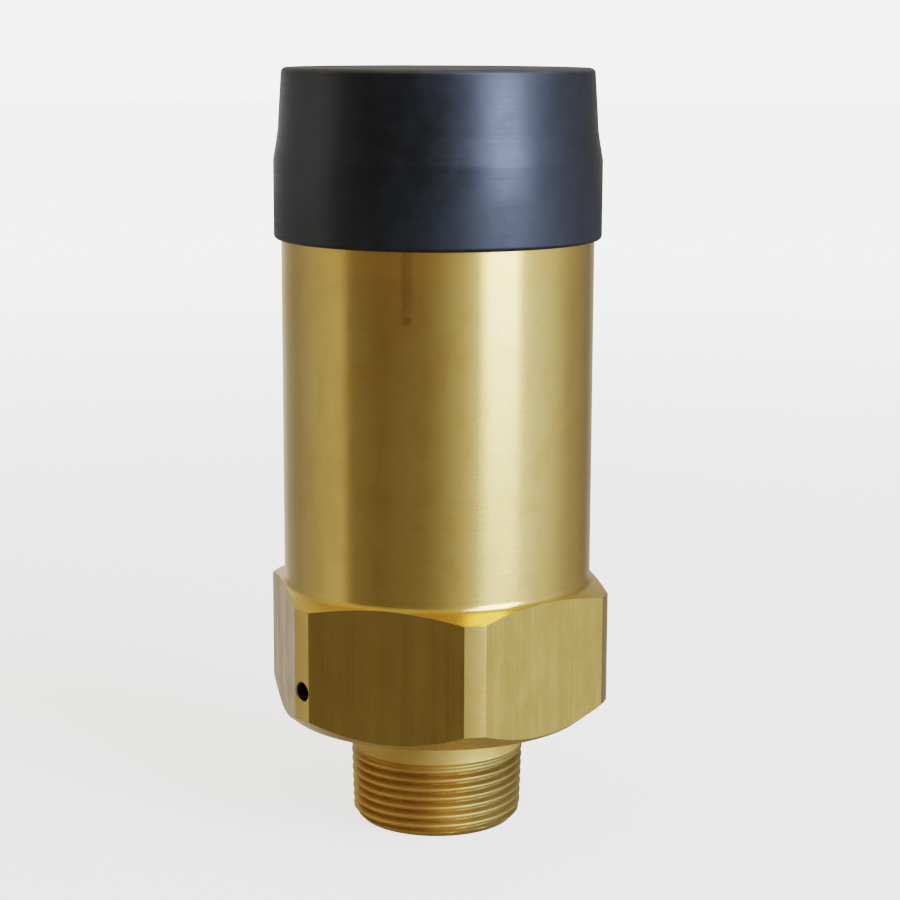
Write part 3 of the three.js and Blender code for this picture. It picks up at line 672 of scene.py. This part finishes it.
def make_float_stem():
    foot, top = span("float_stem")
    thread_top, collar = 142.1, 146.35
    steps = (STEM_RADIUS, thread_top, 2.5, collar, 3.2, collar + 1.5, PIN_RADIUS, top, 0)
    profile = stairs(0, foot, *steps)
    angles = even(56)
    rings = threaded(rounded(profile, 0.2), foot + 0.4, thread_top - 0.5, 0.7, 0.3, angles)
    rings = threaded(rings, top - 3.2, top - 0.3, 0.5, 0.22, angles)
    return finished(lathe("float_stem_turned", rings, angles))


def make_guide_pin():
    low, high = span("float_guide_pin")
    collar = 57.1
    profile = [(0, low), (1.5, low), (2.5, low + 1)] + stairs(2.5, collar, 5, high, 0)
    return finished(turned("float_guide_pin_turned", profile, soft=0.3))


# ---- guide ----
def make_guide_spider():
    low, top = span("guide_spider")
    plate_low = CHAMBER_FLOOR + GAP
    plate_high = plate_low + 2
    rim = stairs(25, plate_low, CHAMBER_RADIUS - GAP, plate_high, 25)
    spider = turned("guide_spider_cast", rim, 120, soft=0.0)
    hub = [(0, low), (5.5, low), (5.5, plate_low), (5.5, plate_high), (5.2, top), (0, top)]
    hub_solid = turned("hub", hub, soft=0.0)
    for angle in (0, 120, 240):
        arm = box("arm", 3, 26, -2.5, 2.5, plate_low + 0.02, plate_high - 0.02)
        join(hub_solid, moved(arm, turn=radians(angle)))
    join(spider, hub_solid)
    cut(spider, drill(3, low, top, 0, 0, 0.4, 0.4))
    bevel(spider, 0.3, 3, 40)
    return finished(spider)


def make_guide_ring():
    low, high = span("guide_retaining_ring")
    ring = open_ring("guide_ring_stamped", 30.9, lambda angle: 28.0, 20, low, high, 120)
    eye_low, eye_high = low - 0.05, high + 0.05
    for angle in (-13, 13):
        x, y = polar(28.2, radians(angle))
        join(ring, lathe("eye", stairs(0, eye_low, 1.8, eye_high, 0), even(32), x, y))
        cut(ring, drill(0.8, eye_low, eye_high, x, y, 0.1, 0.1))
    bevel(ring, 0.15, 2, 40)
    return finished(ring)


# ---- materials ----
class Graph:
    """Short calls for building a node tree."""

    def __init__(self, tree):
        self.tree = tree
        self.tree.nodes.clear()

    def add(self, kind, **settings):
        node = self.tree.nodes.new(kind)
        for key, value in settings.items():
            setattr(node, key, value)
        return node

    def link(self, source, target):
        self.tree.links.new(source, target)

    def math(self, operation, a, b=None):
        node = self.add("ShaderNodeMath", operation=operation)
        for socket, value in zip(node.inputs, (a, b)):
            if isinstance(value, (int, float)):
                socket.default_value = value
            elif value is not None:
                self.link(value, socket)
        return node.outputs[0]

    def times(self, a, b):
        return self.math("MULTIPLY", a, b)

    def plus(self, a, b):
        return self.math("ADD", a, b)

    def remap(self, value, low, high, out_low=0.0, out_high=1.0):
        """The first range stretched smoothly onto the second, and held at its ends."""
        node = self.add("ShaderNodeMapRange", interpolation_type="SMOOTHSTEP")
        for socket, number in zip(node.inputs[1:5], (low, high, out_low, out_high)):
            socket.default_value = number
        self.link(value, node.inputs["Value"])
        return node.outputs["Result"]

    def near(self, value, centre, full, faded):
        """1 within a distance of a value, fading to 0."""
        away = self.math("ABSOLUTE", self.math("SUBTRACT", value, centre))
        return self.remap(away, full, faded, 1.0, 0.0)

    def mix(self, factor, a, b, blend="MIX"):
        node = self.add("ShaderNodeMix", data_type="RGBA", blend_type=blend)
        for socket, value in zip((node.inputs[0], node.inputs[6], node.inputs[7]), (factor, a, b)):
            if isinstance(value, (int, float)):
                socket.default_value = value
            elif isinstance(value, tuple):
                socket.default_value = (*value, 1.0)
            else:
                self.link(value, socket)
        return node.outputs[2]

    def tint(self, colour, other, mask, low, high, amount=1.0):
        """A colour that turns towards another as a mask rises through a range."""
        return self.mix(self.remap(mask, low, high, 0.0, amount), colour, other)


class Nodes(Graph):
    """One material's nodes, round a Principled shader, in the object's own millimetres."""

    def __init__(self, name, **values):
        self.material = bpy.data.materials.new(name)
        self.material.use_nodes = True
        super().__init__(self.material.node_tree)
        self.output = self.add("ShaderNodeOutputMaterial")
        self.shader = self.add("ShaderNodeBsdfPrincipled")
        self.link(self.shader.outputs["BSDF"], self.output.inputs["Surface"])
        self.place = self.add("ShaderNodeTexCoord").outputs["Object"]
        for key, value in values.items():
            self.shader.inputs[key.replace("_", " ")].default_value = value

    def to(self, socket, name):
        self.link(socket, self.shader.inputs[name])

    def colour(self, socket):
        self.to(socket, "Base Color")

    def rough(self, socket):
        self.to(socket, "Roughness")

    def scaled(self, x, y, z):
        """Coordinates in millimetres times a scale on each axis."""
        node = self.add("ShaderNodeMapping")
        node.inputs["Scale"].default_value = (x / MM, y / MM, z / MM)
        self.link(self.place, node.inputs["Vector"])
        return node.outputs["Vector"]

    def noise(self, vector, detail=3.0, roughness=0.5, distortion=0.0):
        """Noise over a vector, or over the coordinates at one scale or three, per millimetre."""
        if isinstance(vector, (float, tuple)):
            vector = self.scaled(*np.broadcast_to(vector, 3))
        node = self.add("ShaderNodeTexNoise")
        self.link(vector, node.inputs["Vector"])
        values = (("Detail", detail), ("Roughness", roughness), ("Distortion", distortion))
        for key, value in (("Scale", 1.0), *values):
            node.inputs[key].default_value = value
        return node.outputs["Fac"]

    def xyz(self):
        node = self.add("ShaderNodeSeparateXYZ")
        self.link(self.place, node.inputs[0])
        return [self.times(socket, 1 / MM) for socket in node.outputs]

    def radius(self):
        x, y, _ = self.xyz()
        return self.math("SQRT", self.plus(self.times(x, x), self.times(y, y)))

    def azimuth(self):
        """Degrees round Z, from -Y towards +X."""
        x, y, _ = self.xyz()
        return self.times(self.math("ARCTAN2", x, self.times(y, -1.0)), degrees(1))

    def lathe_rings(self, per_mm, detail=4.0):
        """Fine rings round Z, on faces as well as on cylinders."""
        along = self.add("ShaderNodeCombineXYZ")
        self.link(self.times(self.radius(), per_mm), along.inputs["X"])
        self.link(self.times(self.xyz()[2], per_mm), along.inputs["Z"])
        return self.noise(along.outputs[0], detail, 0.65)

    def bump(self, height, strength, distance):
        node = self.add("ShaderNodeBump")
        node.inputs["Strength"].default_value = strength
        node.inputs["Distance"].default_value = distance * MM
        self.link(height, node.inputs["Height"])
        self.to(node.outputs["Normal"], "Normal")

    def see_through_from_behind(self):
        clear, mixed = self.add("ShaderNodeBsdfTransparent"), self.add("ShaderNodeMixShader")
        self.link(self.add("ShaderNodeNewGeometry").outputs["Backfacing"], mixed.inputs[0])
        self.link(self.shader.outputs["BSDF"], mixed.inputs[1])
        self.link(clear.outputs["BSDF"], mixed.inputs[2])
        self.link(mixed.outputs["Shader"], self.output.inputs["Surface"])
        return self.material

    def lengthwise_gloss(self, amount):
        """Highlights drawn out along Z, as lathe rings make them."""
        tangent = self.add("ShaderNodeTangent", direction_type="RADIAL", axis="Z")
        self.to(tangent.outputs["Tangent"], "Tangent")
        self.shader.inputs["Anisotropic"].default_value = amount
        self.shader.inputs["Anisotropic Rotation"].default_value = 0.25


BRASS = (0.89, 0.595, 0.178)
DULL_BRASS = (0.8, 0.515, 0.146)
BRIGHT_BRASS = (0.93, 0.67, 0.25)
ORANGE_BRASS = (1.0, 0.59, 0.155)
TARNISHED_BRASS = (0.83, 0.49, 0.14)
THREAD_ROOT_BROWN = (0.33, 0.18, 0.055)
BRASS_STAIN = (0.42, 0.225, 0.07)
STAIN_AZIMUTH, STAIN_END = 7.5, 127.6


def barrel_brass():
    """Satin turned brass: fine rings, cloudy patina, a stain, and a warm band under the cap."""
    m = Nodes("turned_brass", Metallic=1.0)
    z = m.xyz()[2]
    rings = m.lathe_rings(5.0)
    coarse = m.noise((0.01, 0.01, 0.55), 2.0, 0.5)
    patina = m.noise((0.05, 0.05, 0.03), 5.0, 0.6, 0.4)
    blots = m.noise((0.16, 0.16, 0.11), 4.0, 0.6, 0.3)
    colour = m.tint(BRASS, DULL_BRASS, patina, 0.35, 0.7)
    colour = m.tint(colour, BRIGHT_BRASS, rings, 0.3, 0.7, 0.3)
    colour = m.tint(colour, DULL_BRASS, blots, 0.48, 0.68, 0.6)
    tarnish = tarnish_mask(m, blots)
    colour = m.mix(tarnish, colour, TARNISHED_BRASS)
    warmed = m.plus(tarnish, m.remap(blots, 0.3, 0.6, 0.2, 0.4))
    colour = m.mix(m.times(m.near(z, 147, 5, 14), warmed), colour, ORANGE_BRASS)
    m.colour(m.mix(stain_mask(m), colour, BRASS_STAIN))
    m.rough(m.plus(m.remap(rings, 0.3, 0.75, 0.2, 0.27), m.remap(patina, 0.35, 0.7, 0.0, 0.07)))
    m.lengthwise_gloss(0.7)
    m.bump(m.plus(rings, m.times(coarse, 0.6)), 0.12, 0.05)
    return m.material


def stain_mask(m):
    """A faint run down from under the cap, 2.5 mm wide, ending in a small darker spot."""
    z = m.xyz()[2]
    across = m.times(m.azimuth(), radians(BODY_RADIUS))
    side = radians(STAIN_AZIMUTH) * BODY_RADIUS
    ragged = m.noise((0.5, 0.5, 0.15), 3.0, 0.6)
    run = m.times(m.near(across, side, 0.5, 2.0), m.near(z, 140, 9, 14))
    run = m.times(run, m.remap(ragged, 0.3, 0.6, 0.2, 0.42))
    spot = m.times(m.near(across, side, 0.3, 1.6), m.near(z, STAIN_END, 0.3, 1.5))
    return m.math("MAXIMUM", run, m.times(spot, 0.55))


def tarnish_mask(m, blots):
    """A cloudy brown area round the run, strongest under the cap, gone by the barrel's middle."""
    around = m.near(m.azimuth(), 4.5, 4.5, 22.0)
    height = m.remap(m.xyz()[2], 92, 138)
    return m.times(m.times(around, height), m.remap(blots, 0.3, 0.65, 0.25, 0.75))


def facet_brass():
    """The drawn bar's own surface on the hexagon: fine lengthwise streaks and handling marks."""
    m = Nodes("drawn_brass", Metallic=1.0)
    streaks = m.noise((1.1, 1.1, 0.008), 4.0, 0.6)
    fine = m.noise((4.5, 4.5, 0.03), 3.0, 0.6)
    handled = m.noise((0.14, 0.14, 0.07), 5.0, 0.65, 0.5)
    bands = m.noise((0.32, 0.32, 0.006), 3.0, 0.6)
    colour = m.tint((0.77, 0.52, 0.142), (0.6, 0.385, 0.092), handled, 0.35, 0.7)
    colour = m.tint(colour, (0.58, 0.375, 0.088), bands, 0.4, 0.7, 0.5)
    colour = m.tint(colour, (0.57, 0.362, 0.095), streaks, 0.38, 0.66, 0.55)
    colour = m.tint(colour, (0.86, 0.6, 0.21), fine, 0.45, 0.75, 0.35)
    m.colour(colour)
    m.rough(m.plus(m.remap(streaks, 0.3, 0.7, 0.27, 0.36), m.remap(handled, 0.4, 0.7, 0, 0.06)))
    m.bump(m.plus(streaks, m.times(fine, 0.5)), 0.16, 0.06)
    return m.material


def thread_brass():
    """Rough cut thread, darker in its roots, with painted shade down its right side, and the paler
    neck above it.
    """
    m = Nodes("thread_brass", Metallic=1.0)
    z = m.xyz()[2]
    crest = m.plus(m.times(z, THREAD_TAPER), GAUGE_RADIUS - GAUGE_HEIGHT * THREAD_TAPER)
    below = m.math("SUBTRACT", crest, m.radius())
    torn = m.noise((0.7, 0.7, 4.0), 4.0, 0.65)
    cloud = m.noise((0.12, 0.12, 0.2), 3.0, 0.6)
    colour = m.tint((0.86, 0.6, 0.19), (0.82, 0.51, 0.13), cloud, 0.35, 0.65)
    # Darker brown in the thread's roots, the deeper the darker, broken up by noise.
    root_darkening = m.times(m.remap(below, 0.25, 1.4), m.remap(torn, 0.25, 0.7, 0.2, 0.55))
    colour = m.mix(root_darkening, colour, THREAD_ROOT_BROWN)
    # Painted shade: the thread is darkened on its side towards +X, the right side in the camera's
    # view.
    colour = m.mix(m.times(m.near(m.azimuth(), 88, 34, 66), 0.8), colour, (0.46, 0.35, 0.125))
    neck = m.remap(z, THREAD_LENGTH - 1, THREAD_LENGTH + 0.5)
    pale = m.tint((0.96, 0.69, 0.235), (0.9, 0.62, 0.19), cloud, 0.35, 0.65)
    m.colour(m.mix(neck, colour, pale))
    m.rough(m.plus(m.remap(torn, 0.3, 0.7, 0.46, 0.58), m.times(neck, 0.12)))
    m.bump(torn, 0.25, 0.08)
    return m.material


def hole_grime():
    """Painted shade: the blind hole's inside near-black and mottled, with a rough bump."""
    m = Nodes("hole_grime", Specular_IOR_Level=0.25)
    crumbs = m.noise(2.5, 4.0, 0.6)
    # Painted shade: a near-black colour inside the hole.
    m.colour(m.tint((0.01, 0.008, 0.006), (0.03, 0.02, 0.012), crumbs, 0.35, 0.7))
    m.rough(m.remap(crumbs, 0.3, 0.7, 0.6, 0.85))
    m.bump(crumbs, 0.3, 0.1)
    return m.material


def black_plastic():
    """Satin moulding: fine mould grain, rubbed smoother near the shoulder, a painted pale sheen
    down its left side, and dust settled on the top.
    """
    m = Nodes("black_plastic", Specular_IOR_Level=0.8, Specular_Tint=(0.88, 0.94, 1.0, 1.0))
    z = m.xyz()[2]
    grain = m.noise(3.2, 3.0, 0.6)
    mottle = m.noise((0.16, 0.16, 0.13), 5.0, 0.65, 0.4)
    lines = m.noise((0.03, 0.03, 1.6), 3.0, 0.6)
    specks = m.noise(1.4, 2.0, 0.7)
    colour = m.tint((0.0045, 0.0045, 0.005), (0.0085, 0.0088, 0.01), mottle, 0.35, 0.7)
    colour = m.tint(colour, (0.022, 0.02, 0.016), specks, 0.66, 0.78, 0.5)
    # Painted sheen: a paler colour down the cap's left side, towards -X, patchy with the mottle.
    painted_left_sheen = m.times(m.near(m.azimuth(), -62, 34, 47), m.remap(m.radius(), 33, 36))
    painted_left_sheen = m.times(painted_left_sheen, m.remap(mottle, 0.25, 0.75, 0.6, 1.0))
    colour = m.mix(painted_left_sheen, colour, (0.052, 0.052, 0.05))
    dust = m.remap(z, CAP_TOP - 1.1, CAP_TOP - 0.05)
    dust = m.times(dust, m.remap(mottle, 0.25, 0.75, 0.5, 1.0))
    m.colour(m.mix(dust, colour, (0.075, 0.064, 0.042)))
    rough = m.plus(m.remap(mottle, 0.3, 0.7, 0.31, 0.38), m.remap(lines, 0.35, 0.7, 0.0, 0.04))
    rough = m.plus(rough, m.remap(m.near(z, CAP_SHOULDER, 5, 24), 0, 1, 0.13, 0.0))
    m.rough(m.plus(rough, m.times(dust, 0.3)))
    m.bump(m.plus(grain, m.times(mottle, 0.8)), 0.14, 0.045)
    return m.material


def inner_brass():
    """Cleanly turned brass that has stayed inside the vent."""
    m = Nodes("inner_brass", Metallic=1.0)
    rings = m.lathe_rings(7.0)
    cloud = m.noise(0.2, 5.0, 0.6, 0.3)
    spots = m.noise(0.9, 3.0, 0.6)
    colour = m.tint((0.83, 0.58, 0.22), (0.77, 0.5, 0.165), cloud, 0.35, 0.7)
    colour = m.tint(colour, (0.62, 0.37, 0.13), spots, 0.62, 0.75, 0.4)
    m.colour(m.tint(colour, (0.9, 0.68, 0.31), rings, 0.3, 0.7, 0.25))
    m.rough(m.plus(m.remap(rings, 0.3, 0.7, 0.2, 0.3), m.remap(cloud, 0.4, 0.7, 0, 0.06)))
    m.bump(rings, 0.14, 0.04)
    return m.material


def stainless():
    """Stamped and turned stainless: faint brushing, with water marks."""
    m = Nodes("stainless", Metallic=1.0)
    along = m.noise((0.35, 6.0, 6.0), 3.0, 0.6)
    marks = m.noise(0.35, 5.0, 0.65, 0.4)
    colour = m.tint((0.6, 0.595, 0.58), (0.52, 0.505, 0.475), marks, 0.35, 0.7)
    m.colour(m.tint(colour, (0.7, 0.7, 0.69), along, 0.4, 0.7, 0.35))
    m.rough(m.plus(m.remap(along, 0.3, 0.7, 0.22, 0.32), m.remap(marks, 0.4, 0.7, 0, 0.08)))
    m.bump(along, 0.15, 0.03)
    return m.material


def spring_steel():
    """Phosphated spring steel: dark and slightly mottled."""
    m = Nodes("spring_steel", Metallic=1.0)
    grain = m.noise(5.0, 3.0, 0.6)
    patches = m.noise(0.5, 4.0, 0.6, 0.3)
    colour = m.tint((0.2, 0.2, 0.215), (0.3, 0.295, 0.29), patches, 0.35, 0.7)
    m.colour(m.tint(colour, (0.12, 0.1, 0.09), grain, 0.55, 0.8, 0.4))
    m.rough(m.remap(grain, 0.3, 0.7, 0.36, 0.5))
    m.bump(grain, 0.2, 0.03)
    return m.material


def float_steel():
    """Deep-drawn sheet: lengthwise draw lines, faint rings, and limescale freckles."""
    m = Nodes("float_steel", Metallic=1.0)
    drawn = m.noise((1.4, 1.4, 0.04), 4.0, 0.6)
    rings = m.lathe_rings(2.5)
    scale = m.noise(0.5, 5.0, 0.7, 0.3)
    colour = m.tint((0.62, 0.62, 0.61), (0.53, 0.525, 0.51), drawn, 0.35, 0.7)
    m.colour(m.tint(colour, (0.66, 0.645, 0.6), scale, 0.6, 0.8, 0.25))
    m.rough(m.plus(m.remap(drawn, 0.3, 0.7, 0.2, 0.3), m.remap(scale, 0.5, 0.8, 0.0, 0.1)))
    m.bump(m.plus(drawn, m.times(rings, 0.5)), 0.14, 0.05)
    return m.material


def rubber():
    """Moulded rubber with a slight bloom."""
    m = Nodes("rubber", Specular_IOR_Level=0.4)
    grain = m.noise(6.0, 3.0, 0.6)
    bloom = m.noise(0.5, 4.0, 0.65)
    m.colour(m.tint((0.012, 0.012, 0.013), (0.034, 0.033, 0.031), bloom, 0.4, 0.75))
    m.rough(m.remap(bloom, 0.3, 0.7, 0.48, 0.66))
    m.bump(grain, 0.25, 0.04)
    return m.material


def fibre():
    """Pressed vulcanised fibre with short, matted fibres showing."""
    m = Nodes("fibre", Specular_IOR_Level=0.3)
    matted = m.noise((2.2, 5.0, 5.0), 4.0, 0.7, 1.2)
    cloud = m.noise(0.7, 3.0, 0.6)
    colour = m.tint((0.3, 0.105, 0.045), (0.42, 0.18, 0.085), matted, 0.35, 0.7)
    m.colour(m.tint(colour, (0.24, 0.085, 0.04), cloud, 0.4, 0.7, 0.4))
    m.rough(m.remap(matted, 0.3, 0.7, 0.62, 0.8))
    m.bump(matted, 0.35, 0.06)
    return m.material


# ---- studio ----
FLOOR_RADIUS = 6
FLOOR_WHITE = (0.82, 0.82, 0.82, 1)
FLOOR_GLOW = (1.3, 2.55)
BACKGROUND = 3.2
# The room round the vent: degrees from the camera's side, then red, green and blue brightness.
ROOM = [
    (-180, 0.6, 0.6, 0.6),
    (-160, 0.72, 0.72, 0.74),
    (-148, 0.36, 0.36, 0.38),
    (-128, 0.24, 0.24, 0.26),
    (-107, 0.34, 0.34, 0.36),
    (-85, 0.46, 0.445, 0.425),
    (-74, 0.5, 0.47, 0.435),
    (-68, 0.18, 0.17, 0.14),
    (-41, 0.13, 0.12, 0.1),
    (-26, 0.155, 0.146, 0.127),
    (-10, 0.175, 0.167, 0.15),
    (4, 0.265, 0.257, 0.238),
    (20, 0.475, 0.495, 0.525),
    (36, 0.8, 0.88, 1.1),
    (62, 0.95, 1.08, 1.5),
    (88, 0.68, 0.75, 0.92),
    (111, 0.36, 0.36, 0.37),
    (145, 0.19, 0.18, 0.165),
    (180, 0.6, 0.6, 0.6),
]
# The softbox overhead and the bench below, and the sines of elevation where they fade in.
SKY, SKY_FADE = (0.5, 0.415, 0.245), (0.38, 0.78)
GROUND, GROUND_FADE = (0.22, 0.195, 0.15), (0.3, 0.7)
WINDOW_AZIMUTH, WINDOW_ELEVATION, WINDOW_DISTANCE = radians(47), radians(25), 1.4
WINDOW_WIDTH, WINDOW_HEIGHT = 0.72, 1.65
WINDOW_RADIANCE, WINDOW_COLOUR = 6.2, (0.78, 0.92, 1.32)


def make_floor():
    """A pale sheet that glows more with distance, until it meets the background."""
    mesh = bpy.data.meshes.new("floor")
    rim = [(*polar(FLOOR_RADIUS, angle), 0) for angle in even(96)]
    mesh.from_pydata(rim, [], [range(len(rim))])
    floor = linked("floor", mesh)
    m = Nodes("pale_floor", Base_Color=FLOOR_WHITE, Roughness=0.7, Emission_Color=(1, 1, 1, 1))
    m.to(m.remap(m.radius(), 60, 1500, *FLOOR_GLOW), "Emission Strength")
    mesh.materials.append(m.see_through_from_behind())
    floor.visible_glossy = floor.visible_diffuse = False


def make_room():
    """Surroundings that reflections and soft light see. The camera sees a plain background."""
    world = bpy.data.worlds.new("room")
    bpy.context.scene.world = world
    world.use_nodes = True
    graph = Graph(world.node_tree)
    axes = graph.add("ShaderNodeSeparateXYZ")
    graph.link(graph.add("ShaderNodeTexCoord").outputs["Generated"], axes.inputs[0])
    x, y, z = axes.outputs
    azimuth = graph.math("ARCTAN2", x, graph.times(y, -1.0))
    turns = graph.math("DIVIDE", graph.plus(azimuth, pi - CAMERA_AZIMUTH), TAU)
    ramp = graph.add("ShaderNodeValToRGB")
    graph.link(graph.math("FRACT", turns), ramp.inputs[0])
    elements = ramp.color_ramp.elements
    elements.remove(elements[1])
    for i, (angle, *colour) in enumerate(ROOM):
        place = (angle + 180) / 360
        element = elements[0] if i == 0 else elements.new(place)
        element.position = place
        element.color = (*colour, 1.0)
    colour = graph.mix(graph.remap(z, *SKY_FADE), ramp.outputs["Color"], SKY)
    colour = graph.mix(graph.remap(graph.times(z, -1.0), *GROUND_FADE), colour, GROUND)
    room, plain = graph.add("ShaderNodeBackground"), graph.add("ShaderNodeBackground")
    graph.link(colour, room.inputs["Color"])
    plain.inputs["Color"].default_value = (1, 1, 1, 1)
    plain.inputs["Strength"].default_value = BACKGROUND
    mixed = graph.add("ShaderNodeMixShader")
    graph.link(graph.add("ShaderNodeLightPath").outputs["Is Camera Ray"], mixed.inputs[0])
    graph.link(room.outputs[0], mixed.inputs[1])
    graph.link(plain.outputs[0], mixed.inputs[2])
    graph.link(mixed.outputs[0], graph.add("ShaderNodeOutputWorld").inputs["Surface"])


def facing(azimuth, elevation):
    """Turns a camera or lamp so that it looks at the vent from a side and a height."""
    return Matrix.Rotation(azimuth, 4, "Z") @ Matrix.Rotation(pi / 2 - elevation, 4, "X")


def make_window():
    """The large soft window that draws the highlight down the vent's right side."""
    data = bpy.data.lights.new("window", "AREA")
    data.shape = "RECTANGLE"
    data.size, data.size_y = WINDOW_WIDTH, WINDOW_HEIGHT
    data.energy = WINDOW_RADIANCE * pi * data.size * data.size_y
    data.color = WINDOW_COLOUR
    turned_in = facing(CAMERA_AZIMUTH + WINDOW_AZIMUTH, WINDOW_ELEVATION)
    back = Matrix.Translation((0, 0, WINDOW_DISTANCE))
    linked("window", data).matrix_world = Matrix.Translation((0, 0, 0.1)) @ turned_in @ back


def make_camera():
    """The photo's camera, fitted to the outline of the vent."""
    data = bpy.data.cameras.new("camera")
    data.lens, data.sensor_width, data.clip_start = 89.1, 36, 0.05
    camera = linked("camera", data)
    bpy.context.scene.camera = camera
    distance, height = 531.1, 190.6
    pitch, yaw, roll = 0.1845, radians(0.328), 0.0034
    side = Vector((sin(CAMERA_AZIMUTH), -cos(CAMERA_AZIMUTH), 0))
    place = Matrix.Translation((side * distance + Vector((0, 0, height))) * MM)
    aim = facing(CAMERA_AZIMUTH - yaw, pitch) @ Matrix.Rotation(roll, 4, "Z")
    camera.matrix_world = place @ aim


# ---- build ----
FINISHES = (black_plastic, inner_brass, stainless, spring_steel, float_steel, rubber, fibre)
PIECES = {
    "body": make_body,
    "cap": make_cap,
    "cap_grip_ring": lambda: round_ring("cap_grip_ring_round", 33.5, 157, 0.7),
    "bonnet": make_bonnet,
    "bonnet_o_ring": lambda: round_ring("bonnet_o_ring_round", 31.65, 163.2, 0.75),
    "valve_seat": make_valve_seat,
    "seat_gasket": make_seat_gasket,
    "dust_screen": make_dust_screen,
    "screen_retaining_ring": make_screen_ring,
    "lever_bracket": make_bracket,
    "bracket_screw_left": lambda: make_bracket_screw("bracket_screw_left", -1),
    "bracket_screw_right": lambda: make_bracket_screw("bracket_screw_right", 1),
    "fulcrum_pin": make_fulcrum_pin,
    "fulcrum_clip": make_fulcrum_clip,
    "lever": make_lever,
    "valve_plug": make_valve_plug,
    "valve_disc": make_valve_disc,
    "valve_plug_nut": lambda: make_nut("valve_plug_nut", 5, PIN_RADIUS, SEAT_X),
    "float_upper_shell": make_upper_shell,
    "float_lower_shell": make_lower_shell,
    "float_top_boss": make_top_boss,
    "float_stem": make_float_stem,
    "stem_lock_nut": lambda: make_nut("stem_lock_nut", 8, STEM_RADIUS),
    "stem_top_nut": lambda: make_nut("stem_top_nut", 5.5, PIN_RADIUS),
    "float_guide_pin": make_guide_pin,
    "guide_spider": make_guide_spider,
    "guide_retaining_ring": make_guide_ring,
}


def install_pieces():
    """Makes each piece in its CAD node's place, on that node's body and in its material slot."""
    finishes = {make.__name__: make() for make in FINISHES}
    bodies = {}
    for body, nodes in frame["record"]["behaviour"]["bodies"].items():
        bodies.update(dict.fromkeys(nodes, body))
    for part in frame["record"]["subparts"]:
        node, slot = part["node"], part["material_slot"]
        piece = PIECES[node]()
        if slot in finishes:
            piece.data.materials.append(finishes[slot])
        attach(piece, bodies[node])
        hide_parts(node)


make_camera()
make_room()
make_window()
make_floor()
install_pieces()
tones = bpy.context.scene.view_settings
tones.view_transform = "Filmic"
tones.look = "Medium High Contrast"
